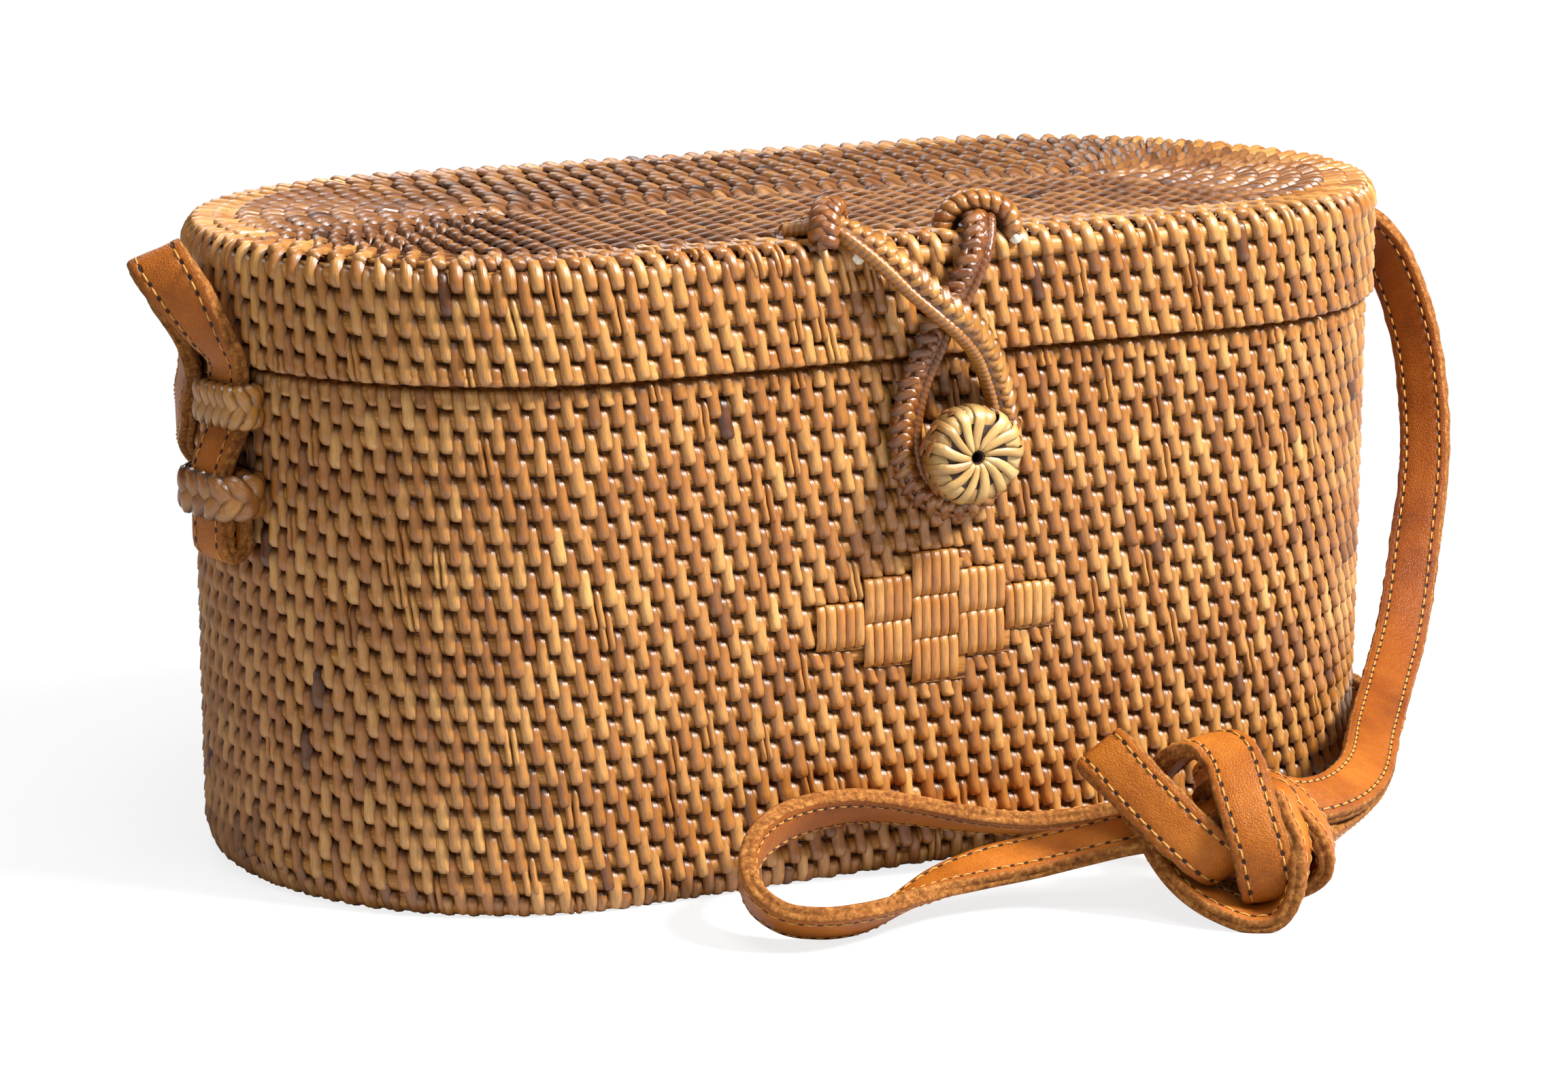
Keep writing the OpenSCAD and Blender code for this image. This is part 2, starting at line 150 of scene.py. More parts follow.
class Shell:
    """Grids gathered into one mesh, with texture places, a tone and an edge mask for each vertex."""

    def __init__(self) -> None:
        keys = ("co", "quads", "uv", "tone", "edge", "slot")
        self._parts: dict[str, list[Array]] = {key: [] for key in keys}
        self._count = 0

    def add(self, grid: Array, uv: Array | float = 0.0, tone: Array | float = 0.5, edge: Array | float = 0.0,
            around: bool = False, ring: bool = False, flip: bool = False, slot: int = 0) -> None:
        """Take in one grid or a stack of grids.

        Args:
            grid: places in millimetres, (copies, rows, columns, 3) or (rows, columns, 3).
            uv: texture places of the same layout.
            tone: one tone for all, or one for each copy.
            edge: a mask that broadcasts to the grid's layout: painted shade for cane and straw strips, the raw
                edge for the strap's leather.
            around: whether columns close.
            ring: whether rows close.
            flip: whether the faces turn over.
            slot: material number.
        """
        grid = np.asarray(grid, float)
        grid = grid[None] if grid.ndim == 3 else grid
        shape = grid.shape[:3]
        quads = patch_quads(*shape, around, ring)
        gathered = {
            "co": grid.reshape(-1, 3),
            "quads": (quads[:, ::-1] if flip else quads) + self._count,
            "uv": np.broadcast_to(uv, shape + (2,)).reshape(-1, 2),
            "tone": np.broadcast_to(np.reshape(np.asarray(tone, float), (-1, 1, 1)), shape).reshape(-1),
            "edge": np.broadcast_to(edge, shape).reshape(-1),
            "slot": np.full(len(quads), slot),
        }
        for key, values in gathered.items():
            self._parts[key].append(values)
        self._count += math.prod(shape)

    def tube(self, rings: Array, **words: object) -> None:
        """Take in a closed-section tube, facing outward whichever way its rings turn."""
        mid = rings.mean(1, keepdims=True)
        across = np.cross(rings[:, 1] - rings[:, 0], np.gradient(mid[:, 0], axis=0))
        outward = np.sum(across * (rings[:, 0] - mid[:, 0]))
        self.add(rings, around=True, flip=bool(outward > 0), **words)

    def object(self, name: str, *materials: bpy.types.Material) -> bpy.types.Object:
        """The gathered mesh as one smooth object at the origin."""
        whole = {key: np.concatenate(parts) for key, parts in self._parts.items()}
        corners = whole["quads"].ravel().astype(np.int32)
        faces = len(whole["quads"])
        mesh = bpy.data.meshes.new(name)
        mesh.vertices.add(len(whole["co"]))
        mesh.vertices.foreach_set("co", (whole["co"] * MM).ravel())
        mesh.loops.add(len(corners))
        mesh.loops.foreach_set("vertex_index", corners)
        mesh.polygons.add(faces)
        mesh.polygons.foreach_set("loop_start", np.arange(0, len(corners), 4, dtype=np.int32))
        mesh.polygons.foreach_set("material_index", whole["slot"].astype(np.int32))
        mesh.polygons.foreach_set("use_smooth", np.ones(faces, dtype=bool))
        mesh.update(calc_edges=True)
        layer = mesh.uv_layers.new(name=UV_NAME)
        layer.data.foreach_set("uv", whole["uv"][corners].ravel())
        for label in ("tone", "edge"):
            attribute = mesh.attributes.new(label, "FLOAT", "POINT")
            attribute.data.foreach_set("value", whole[label])
        mesh.validate()
        obj = bpy.data.objects.new(name, mesh)
        bpy.context.scene.collection.objects.link(obj)
        for material in materials:
            mesh.materials.append(material)
        LOG.info("%s: %d triangles", name, 2 * faces)
        return obj


@dataclass(frozen=True)
class Oval:
    """A long round outline: two straights joined by half circles, walked from the middle of its front."""

    straight: float

    def length(self, radius: Array | float) -> Array | float:
        """Distance once round at that end radius."""
        return 2 * self.straight + TAU * radius

    def place(self, s: Array, reference: Array | float, radius: Array | float) -> tuple[Array, Array]:
        """Places on the outline: a straight keeps its run, and an end turns by distance over radius.

        Args:
            s: distance from the middle of the front, to the right as seen from outside.
            reference: end radius that s was measured at.
            radius: end radius of the places wanted.

        Returns:
            Flat places, and the directions that point outward there.
        """
        s, reference, radius = np.broadcast_arrays(s, reference, radius)
        run, half, arc, quarter = self.straight, self.straight / 2, math.pi * reference, math.pi / 2
        s = np.mod(s + half, 2 * run + 2 * arc)
        where = [s < run, s < run + arc, s < 2 * run + arc]
        turns = [-quarter + 0 * s, (s - run) / reference - quarter, quarter + 0 * s]
        angle = np.select(where, turns, (s - 2 * run - arc) / reference + quarter)
        centre = np.select(where, [s - half, half + 0 * s, half - (s - run - arc)], -half + 0 * s)
        out = np.stack([np.cos(angle), np.sin(angle)], -1)
        return np.stack([centre, 0 * centre], -1) + radius[..., None] * out, out


OVAL = Oval(STRAIGHT)


def smooth_course(points: Array, step: float) -> Array:
    """Even samples of a smooth curve through places.

    Each span is a Catmull-Rom piece whose knots are spaced by the root of the distance, so that it neither
    loops nor swings wide; all columns follow the first three.

    Args:
        points: places, with any further values to carry along after x, y and z.
        step: distance between samples.

    Returns:
        Samples with the same columns.
    """
    p = np.vstack([2 * points[:1] - points[1:2], points, 2 * points[-1:] - points[-2:-1]])
    gap = np.sqrt(np.maximum(np.linalg.norm(np.diff(p[:, :3], axis=0), axis=1), 1e-6))
    knot = np.concatenate([[0], np.cumsum(gap)])
    t0, t1, t2, t3 = (knot[i:len(knot) - 3 + i, None, None] for i in range(4))
    p0, p1, p2, p3 = (p[i:len(p) - 3 + i, None, :] for i in range(4))
    t = t1 + (t2 - t1) * np.linspace(0, 1, 25)[None, :, None]
    a1 = ((t1 - t) * p0 + (t - t0) * p1) / (t1 - t0)
    a2 = ((t2 - t) * p1 + (t - t1) * p2) / (t2 - t1)
    a3 = ((t3 - t) * p2 + (t - t2) * p3) / (t3 - t2)
    b1 = ((t2 - t) * a1 + (t - t0) * a2) / (t2 - t0)
    b2 = ((t3 - t) * a2 + (t - t1) * a3) / (t3 - t1)
    dense = ((t2 - t) * b1 + (t - t1) * b2) / (t2 - t1)
    dense = np.vstack([dense[:, :-1].reshape(-1, p.shape[1]), points[-1:]])
    run = distance_along(dense[:, :3])
    wanted = np.linspace(0, run[-1], max(int(round(run[-1] / step)), 2) + 1)
    return np.stack([np.interp(wanted, run, column) for column in dense.T], 1)


@dataclass
class Course:
    """A sampled line with three directions at each sample: along it, across it and off its face."""

    line: Array
    along: Array
    across: Array
    off: Array
    run: Array

    @classmethod
    def through(cls, points: Array, step: float, facing: bool = False) -> "Course":
        """A course through places that carry a direction across, or off its face if facing is set."""
        rows = smooth_course(points, step)
        line, given = rows[:, :3], rows[:, 3:]
        along = unit(np.gradient(line, axis=0))
        given = unit(given - np.sum(given * along, 1, keepdims=True) * along)
        across, off = (np.cross(given, along), given) if facing else (given, np.cross(along, given))
        return cls(line, along, across, off, distance_along(line))

    @property
    def length(self) -> float:
        """Distance from end to end."""
        return float(self.run[-1])

    def at(self, where: Array) -> "Course":
        """The course at other distances along it."""
        line, *ways = (np.stack([np.interp(where, self.run, c) for c in part.T], 1)
                       for part in (self.line, self.along, self.across, self.off))
        return Course(line, *map(unit, ways), np.asarray(where))

    def section(self, wide: Array, high: Array) -> Array:
        """Rings of a section carried along: wide across the line and high off its face."""
        wide, high = np.atleast_2d(wide)[..., None], np.atleast_2d(high)[..., None]
        return self.line[:, None] + wide * self.across[:, None] + high * self.off[:, None]


@dataclass(frozen=True)
class LobeStyle:
    """The outline and rise of one leaf-shaped lobe of a plait."""

    along: tuple[float, ...] = (0.0, 0.1, 0.28, 0.5, 0.72, 0.9, 1.0)
    breadth: tuple[float, ...] = (0.85, 0.98, 1.0, 1.0, 0.92, 0.6, 0.1)
    rise: tuple[float, ...] = (-0.9, -0.3, 0.2, 0.6, 0.95, 0.9, 0.1)
    across: tuple[float, ...] = (-1.0, -0.9, 0.0, 0.9, 1.0)
    droop: tuple[float, ...] = (-0.75, -0.12, 0.0, -0.12, -0.75)

    def shade(self) -> Array:
        """How dark each place is, from the tucked base and the two borders."""
        base = np.interp(self.along, (0, .15, .4, .9, 1), (1, .7, 0, 0, .6))
        return np.maximum(base[:, None], 0.7 * np.abs(np.array(self.across)) ** 6)[None]

    def grids(self, centre: Array, axis: Array, off: Array, length: Array | float, width: Array | float,
              height: float) -> tuple[Array, Array]:
        """Grids of lobes, each a bent leaf: its rise follows its length and droops to both sides.

        Args:
            centre: middles, one row each.
            axis: directions of the lobes' lengths.
            off: directions off the surface.
            length: lengths.
            width: greatest widths.
            height: rise above the middle.

        Returns:
            The grids and their texture places.
        """
        count = len(centre)
        length, width = (each(np.broadcast_to(np.asarray(v, float), count)) for v in (length, width))
        t, b, r = (np.array(v)[None, :, None] for v in (self.along, self.breadth, self.rise))
        c, d = np.array(self.across), np.array(self.droop)
        side = unit(np.cross(off, axis))
        wide = 0.5 * width * b * c
        high = height * (r + d * b)
        grid = (each(centre) + ((t - 0.5) * length + 0 * c)[..., None] * each(axis)
                + wide[..., None] * each(side) + high[..., None] * each(off))
        return grid, strip_uv(wide, t * length, 7.3)


STRAND_ACROSS = np.array([-1.0, -0.86, -0.45, 0.0, 0.45, 0.86, 1.0])
STRAND_RISE = np.array([-0.9, 0.05, 0.42, 0.5, 0.42, 0.05, -0.9])
STRAND_SHADE = np.array([1.0, 0.55, 0.0, 0.0, 0.0, 0.55, 1.0])
STRAND_HEIGHT = 1.15
STRIP_ACROSS = np.array([-1, -0.8, 0, 0.8, 1])


def strand_grid(line: Array, off: Array, width: float, closed: bool) -> tuple[Array, Array]:
    """A flat strand laid along a line: a low arch across, falling away at both edges.

    Args:
        line: places along the middle.
        off: directions off the surface.
        width: strand width.
        closed: whether the line joins its own start.

    Returns:
        The grid, rows along and columns across, and its texture places.
    """
    ahead = unit(np.roll(line, -1, 0) - np.roll(line, 1, 0) if closed else np.gradient(line, axis=0))
    side = unit(np.cross(off, ahead))
    off = np.cross(ahead, side)
    wide = 0.5 * width * STRAND_ACROSS
    high = STRAND_HEIGHT * STRAND_RISE
    grid = line[:, None] + wide[:, None] * side[:, None] + high[:, None] * off[:, None]
    return grid, layered(wide, distance_along(line)[:, None])


# Finishes


class Sketch:
    """Adds and links nodes in one node tree."""

    def __init__(self, tree: bpy.types.NodeTree) -> None:
        self.tree = tree

    def feed(self, node: bpy.types.Node, inputs: dict[object, object]) -> None:
        """Give each input named a value or a link."""
        for key, value in inputs.items():
            if isinstance(value, Socket):
                self.tree.links.new(value, node.inputs[key])
            else:
                node.inputs[key].default_value = value

    def add(self, kind: str, inputs: dict[object, object] | None = None, **settings: object) -> bpy.types.Node:
        """A node with its settings made and its inputs fed."""
        node = self.tree.nodes.new("ShaderNode" + kind)
        for key, value in settings.items():
            setattr(node, key, value)
        self.feed(node, inputs or {})
        return node

    def math(self, operation: str, a: object, b: object = 0.0, clamp: bool = False) -> Socket:
        """The result of a sum on two values."""
        return self.add("Math", {0: a, 1: b}, operation=operation, use_clamp=clamp).outputs[0]

    def plus(self, a: object, b: object, share: float) -> Socket:
        """A value with a share of another added."""
        return self.math("ADD", a, self.math("MULTIPLY", b, share))

    def squares(self, a: object, b: object) -> Socket:
        """The sum of two squares."""
        return self.math("ADD", self.math("POWER", a, 2.0), self.math("POWER", b, 2.0))

    def remap(self, value: object, low: float, high: float, to_low: float = 0.0,
              to_high: float = 1.0) -> Socket:
        """A value stretched from one range to another and held inside it."""
        return self.add("MapRange", {0: value, 1: low, 2: high, 3: to_low, 4: to_high}).outputs[0]

    def spread(self, noise: Socket) -> Socket:
        """A cloudy value stretched to fill nought to one."""
        return self.remap(noise, 0.3, 0.7)

    def blend(self, fac: object, a: object, b: object) -> Socket:
        """Two values mixed."""
        return self.add("Mix", {0: fac, 2: a, 3: b}, data_type="FLOAT").outputs[0]

    def mix(self, fac: object, a: object, b: object, blend: str = "MIX") -> Socket:
        """Two colours mixed."""
        a, b = ((*v, 1.0) if isinstance(v, tuple) and len(v) == 3 else v for v in (a, b))
        return self.add("Mix", {0: fac, 6: a, 7: b}, data_type="RGBA", blend_type=blend).outputs[2]

    def tint(self, fac: object, colour: object, by: Colour) -> Socket:
        """A colour darkened by another where a mask says so."""
        return self.mix(fac, colour, self.mix(1.0, colour, by, "MULTIPLY"))

    def ramp(self, value: object, stops: list[tuple[float, Colour]]) -> Socket:
        """A value turned into a colour along stops."""
        node = self.add("ValToRGB", {0: value})
        elements = node.color_ramp.elements
        while len(elements) < len(stops):
            elements.new(0.5)
        for element, (place, colour) in zip(elements, stops):
            element.position, element.color = place, (*colour, 1.0)
        return node.outputs[0]

    def noise(self, vector: Socket, scale: float, detail: float, roughness: float = 0.5) -> Socket:
        """A cloudy value."""
        inputs = {"Vector": vector, "Scale": scale, "Detail": detail, "Roughness": roughness}
        return self.add("TexNoise", inputs).outputs[0]

    def attribute(self, name: str) -> Socket:
        """A value that the mesh carries."""
        return self.add("Attribute", attribute_name=name).outputs["Fac"]

    def woven_place(self) -> Socket:
        """The mesh's own texture places."""
        return self.add("UVMap", uv_map=UV_NAME).outputs[0]

    def millimetres(self) -> Socket:
        """Object places in millimetres."""
        place = self.add("TexCoord").outputs["Object"]
        return self.add("VectorMath", {0: place, 1: (1 / MM,) * 3}, operation="MULTIPLY").outputs[0]

    def surface(self, shader: bpy.types.Node, colour: Socket, roughness: object, height: Socket,
                strength: float, distance: float = 0.0004, specular: float = 0.5) -> None:
        """Feed a Principled node its colour, roughness, highlight and a bump."""
        bump = self.add("Bump", {"Height": height, "Strength": strength, "Distance": distance}).outputs[0]
        self.feed(shader, {"Base Color": colour, "Roughness": roughness, "Normal": bump,
                           "Specular IOR Level": specular})


def fibre_group() -> bpy.types.NodeTree:
    """Long fine fibres: a noise drawn out along one way, with a coarser one for stains."""
    tree = bpy.data.node_groups.new("fibre_streaks", "ShaderNodeTree")
    for label in ("Vector", "Stretch"):
        tree.interface.new_socket(label, in_out="INPUT", socket_type="NodeSocketVector")
    for label in ("Streak", "Stain"):
        tree.interface.new_socket(label, in_out="OUTPUT", socket_type="NodeSocketFloat")
    vector, stretch = tree.nodes.new("NodeGroupInput").outputs[:2]
    sketch = Sketch(tree)
    drawn = sketch.add("VectorMath", {0: vector, 1: stretch}, operation="MULTIPLY").outputs[0]
    fine = sketch.noise(drawn, 1.0, 4.0, 0.65)
    coarse = sketch.noise(vector, 0.06, 3.0)
    sketch.feed(tree.nodes.new("NodeGroupOutput"), {0: sketch.spread(fine), 1: sketch.spread(coarse)})
    return tree


@dataclass(frozen=True)
class Palette:
    """Three colours from dark to light."""

    dark: Colour
    middle: Colour
    light: Colour

    def stops(self) -> list[tuple[float, Colour]]:
        """Stops for a colour ramp."""
        return [(0.0, self.dark), (0.5, self.middle), (1.0, self.light)]


class Finish:
    """Makes a material and its Principled node."""

    name: str

    def start(self) -> tuple[bpy.types.Material, Sketch, bpy.types.Node]:
        """A fresh material with its tree at hand."""
        material = bpy.data.materials.new(self.name)
        material.use_nodes = True
        return material, Sketch(material.node_tree), material.node_tree.nodes["Principled BSDF"]


@dataclass(frozen=True)
class StripFinish(Finish):
    """Split cane or straw: a tone for each strip, fibres along it, a soft varnish and painted shade where the
    edge mask is set.
    """

    name: str
    palette: Palette
    roughness: float
    streak_depth: float = 0.45
    relief: float = 0.22
    stretch: tuple[float, float, float] = (4.2, 0.32, 1.0)
    # Colour of the painted shade at the strips' tucked ends and borders
    tucked: Colour = (0.2, 0.13, 0.09)
    stain: float = 0.12
    shine: float = 0.75

    def build(self, fibres: bpy.types.NodeTree) -> bpy.types.Material:
        """The material, fed by the mesh's own texture places and tones."""
        material, sketch, shader = self.start()
        inputs = {0: sketch.woven_place(), 1: self.stretch}
        streak, stain = sketch.add("Group", node_tree=fibres, inputs=inputs).outputs
        stain = sketch.remap(stain, 0.0, 1.0, -self.stain, self.stain)
        tone = sketch.math("ADD", sketch.attribute("tone"), stain, clamp=True)
        shades = [(0.0, (1 - self.streak_depth,) * 3), (0.55, WHITE), (1.0, (1.12, 1.12, 1.1))]
        colour = sketch.ramp(tone, self.palette.stops())
        colour = sketch.mix(1.0, colour, sketch.ramp(streak, shades), "MULTIPLY")
        # Painted shade: the tucked colour darkens the strips at their tucked ends and borders, where the edge
        # mask is set
        colour = sketch.tint(sketch.attribute("edge"), colour, self.tucked)
        roughness = sketch.remap(streak, 0.0, 1.0, self.roughness + 0.14, self.roughness - 0.04)
        sketch.surface(shader, colour, roughness, streak, self.relief, specular=self.shine)
        return material


@dataclass(frozen=True)
class RodFinish(Finish):
    """The rods of a coil: fibres along them and painted shade in the grooves between, found from the coil's
    own measures.
    """

    name: str
    palette: Palette
    wall_pitch: float
    wall_base: float
    flat_pitch: float
    flat_edge: float
    flat_above: float = 500.0
    flat_below: float = -500.0
    flat_shade: float = 0.0
    # Colours of the painted shade: deep in the grooves between rods, lighter on their slopes
    groove_shade: Colour = (0.08, 0.055, 0.04)
    slope_shade: Colour = (0.5, 0.42, 0.35)
    # Colour of the painted shade on the lid's top rods, under the stitches
    under_stitch_shade: Colour = (0.25, 0.17, 0.11)
    stretch: tuple[float, float, float] = (0.22, 0.22, 3.2)

    def build(self, fibres: bpy.types.NodeTree) -> bpy.types.Material:
        """The material: painted shade in the grooves between rods, which repeat with height on a wall and with
        distance from the edge on a top or foot.
        """
        material, sketch, shader = self.start()
        calc = sketch.math
        place = sketch.millimetres()
        x, y, z = sketch.add("SeparateXYZ", {0: place}).outputs
        beyond = calc("MAXIMUM", calc("SUBTRACT", calc("ABSOLUTE", x), STRAIGHT / 2), 0.0)
        out = calc("SQRT", sketch.squares(beyond, y))
        wall = calc("DIVIDE", calc("SUBTRACT", z, self.wall_base), self.wall_pitch)
        flat = calc("DIVIDE", calc("SUBTRACT", self.flat_edge, out), self.flat_pitch)
        above, below = calc("GREATER_THAN", z, self.flat_above), calc("LESS_THAN", z, self.flat_below)
        on_flat = calc("MAXIMUM", above, below)
        arch = calc("ABSOLUTE", calc("SINE", calc("MULTIPLY", sketch.blend(on_flat, wall, flat), math.pi)))
        facing = sketch.add("SeparateXYZ", {0: sketch.add("TexCoord").outputs["Normal"]}).outputs[2]
        level = calc("GREATER_THAN", calc("ABSOLUTE", facing), 0.8)
        arch = calc("MAXIMUM", arch, calc("SUBTRACT", level, on_flat))
        streak, stain = sketch.add("Group", node_tree=fibres, inputs={0: place, 1: self.stretch}).outputs
        tone = sketch.plus(calc("MULTIPLY", streak, 0.6), stain, 0.4)
        # Painted shade: dark in the grooves, lighter on the slopes, none on the crests or on level faces
        shade = sketch.ramp(arch, [(0.0, self.groove_shade), (0.32, self.slope_shade), (0.6, WHITE)])
        colour = sketch.mix(1.0, sketch.ramp(tone, self.palette.stops()), shade, "MULTIPLY")
        # Painted shade on the lid's top, where the rods lie under the leaf stitches
        top = calc("MULTIPLY", on_flat, self.flat_shade)
        colour = sketch.tint(top, colour, self.under_stitch_shade)
        roughness = sketch.remap(top, 0.0, 1.0, 0.45, 0.95)
        sketch.surface(shader, colour, roughness, sketch.plus(arch, streak, 0.08), 0.3, 0.0008, 0.35)
        return material


@dataclass(frozen=True)
class LeatherFinish(Finish):
    """A sewn strap: smooth grained faces, raw fibrous edges and needle holes darkened with painted shade."""

    name: str
    face: Palette
    edge: Palette
    aged: Colour = (0.62, 0.52, 0.42)
    burnished: Colour = (0.55, 0.45, 0.4)
    # Colour of the painted shade in the needle holes
    hole: Colour = (0.035, 0.012, 0.004)
    hole_long: float = 0.62
    hole_wide: float = 0.46

    def build(self) -> bpy.types.Material:
        """The material, fed by distances along and across the strap and by its edge mask."""
        material, sketch, shader = self.start()
        calc, remap = sketch.math, sketch.remap
        place, edge = sketch.millimetres(), sketch.attribute("edge")
        along, across, _ = sketch.add("SeparateXYZ", {0: sketch.woven_place()}).outputs
        across = calc("ABSOLUTE", across)
        cloud = sketch.noise(place, 0.05, 5.0, 0.6)
        pores = sketch.noise(place, 1.4, 6.0, 0.7)
        nap = sketch.noise(place, 0.75, 8.0, 0.75)
        cells = sketch.add("TexVoronoi", {"Vector": place, "Scale": 1.7}, feature="DISTANCE_TO_EDGE")
        tone = sketch.plus(calc("MULTIPLY", sketch.spread(cloud), 0.7), sketch.spread(pores), 0.3)
        age = remap(along, Strap.worn_from, Strap.worn_from + Strap.worn_over)
        face = sketch.tint(age, sketch.ramp(tone, self.face.stops()), self.aged)
        face = sketch.tint(remap(across, 3.0, 6.0, 0.0, 0.45), face, self.burnished)
        worn = remap(sketch.plus(edge, nap, 0.5), 0.6, 0.95)
        colour = sketch.mix(worn, face, sketch.ramp(remap(nap, 0.34, 0.68), self.edge.stops()))
        step = calc("SUBTRACT", calc("FRACT", calc("DIVIDE", along, Strap.hole_pitch)), 0.5)
        near_along = calc("DIVIDE", calc("MULTIPLY", step, Strap.hole_pitch), self.hole_long)
        near_across = calc("DIVIDE", calc("SUBTRACT", across, Strap.hole_line), self.hole_wide)
        reach = sketch.squares(near_along, near_across)
        # Painted shade in the needle holes, which the bump also sinks
        hole = calc("MULTIPLY", remap(reach, 1.5, 0.6), calc("SUBTRACT", 1.0, edge, clamp=True))
        colour = sketch.mix(hole, colour, self.hole)
        fine = sketch.plus(calc("MULTIPLY", remap(cells.outputs[0], 0.0, 0.25), 0.35), pores, 0.5)
        height = sketch.plus(sketch.blend(worn, fine, calc("MULTIPLY", nap, 2.6)), hole, -1.6)
        sketch.surface(shader, colour, remap(worn, 0.0, 1.0, 0.42, 0.9), height, 0.55, specular=0.22)
        return material


@dataclass(frozen=True)
class PlainFinish(Finish):
    """One colour with a fine mottle, for thread, pith and cores; a core's near-black colour is painted shade
    in the gaps and holes where it shows.
    """

    name: str
    palette: Palette
    roughness: float = 0.7
    scale: float = 0.8

    def build(self) -> bpy.types.Material:
        """The material."""
        material, sketch, shader = self.start()
        mottle = sketch.noise(sketch.millimetres(), self.scale, 5.0)
        colour = sketch.ramp(sketch.spread(mottle), self.palette.stops())
        sketch.surface(shader, colour, self.roughness, mottle, 0.3)
        return material


class Finishes:
    """All materials of the bag, made once."""

    cane = Palette((0.10, 0.026, 0.004), (0.39, 0.142, 0.022), (0.68, 0.36, 0.10))
    rods = Palette((0.19, 0.065, 0.012), (0.43, 0.18, 0.036), (0.62, 0.34, 0.10))
    dark = Palette((0.08, 0.018, 0.004), (0.27, 0.085, 0.012), (0.60, 0.29, 0.055))
    pale = Palette((0.30, 0.135, 0.03), (0.55, 0.33, 0.10), (0.74, 0.52, 0.22))
    brown = Palette((0.05, 0.014, 0.003), (0.215, 0.072, 0.012), (0.42, 0.19, 0.05))
    gap_shade = Palette((0.012, 0.005, 0.002), (0.035, 0.013, 0.005), (0.07, 0.028, 0.01))
    hinge = Palette((0.09, 0.026, 0.005), (0.23, 0.08, 0.014), (0.36, 0.15, 0.035))
    white = Palette((0.55, 0.45, 0.3), (0.8, 0.74, 0.6), (0.9, 0.88, 0.8))
    hide = Palette((0.20, 0.046, 0.004), (0.385, 0.108, 0.009), (0.53, 0.18, 0.02))
    raw_edge = Palette((0.10, 0.028, 0.005), (0.28, 0.098, 0.018), (0.52, 0.24, 0.06))
    linen = Palette((0.33, 0.14, 0.025), (0.50, 0.24, 0.045), (0.66, 0.38, 0.09))

    def __init__(self) -> None:
        fibres = fibre_group()
        body_coil = RodFinish("cane_rod_body", self.rods, wall_pitch=ROD, wall_base=0.0, flat_pitch=4.857,
                              flat_edge=WALL_RADIUS, flat_below=0.4)
        lid_coil = RodFinish("cane_rod_lid", self.rods, wall_pitch=4.75, wall_base=LID_LOW, flat_pitch=4.971,
                             flat_edge=LID_RADIUS, flat_above=138.0, flat_shade=1.0)
        self.strip = StripFinish("cane_strip", self.cane, 0.28).build(fibres)
        self.top_strip = StripFinish("cane_top_strip", self.brown, 0.3, 0.5).build(fibres)
        self.plait = StripFinish("cane_plait", self.dark, 0.2).build(fibres)
        self.straw = StripFinish("straw_strip", self.pale, 0.28, 0.35).build(fibres)
        self.wall = body_coil.build(fibres)
        self.lid = lid_coil.build(fibres)
        # Painted shade: near-black cores that show in gaps between strands and in the button's hole
        self.core = PlainFinish("cane_core_shade", self.gap_shade).build()
        self.barrel = PlainFinish("hinge_cane", self.hinge, 0.35).build()
        self.pith = PlainFinish("pith", self.white, 0.9, 1.5).build()
        self.leather = LeatherFinish("strap_leather", self.hide, self.raw_edge).build()
        self.thread = PlainFinish("strap_thread", self.linen, 0.5, 2.5).build()


def dress(obj: bpy.types.Object, body: Body, slot: Slot, *nodes: str) -> bpy.types.Object:
    """Put a piece on its body, in place of the CAD nodes named."""
    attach(obj, body.value)
    if nodes:
        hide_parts(*nodes)
    return obj


def paint(node: str, material: bpy.types.Material) -> None:
    """Give a carried-over CAD node its material."""
    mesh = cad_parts[node].data
    mesh.materials.clear()
    mesh.materials.append(material)


# The strap


def holder_way(side: int) -> Array:
    """The flat direction that points out of the bag at one end's holder."""
    turn = HOLDER_TURN + (math.pi if side < 0 else 0.0)
    return np.array([math.cos(turn), math.sin(turn)])


def holder_place(side: int, out: float) -> Array:
    """A flat place at one end's holder, so far out from the wall."""
    return np.array([side * STRAIGHT / 2, 0.0]) + (WALL_RADIUS + out) * holder_way(side)


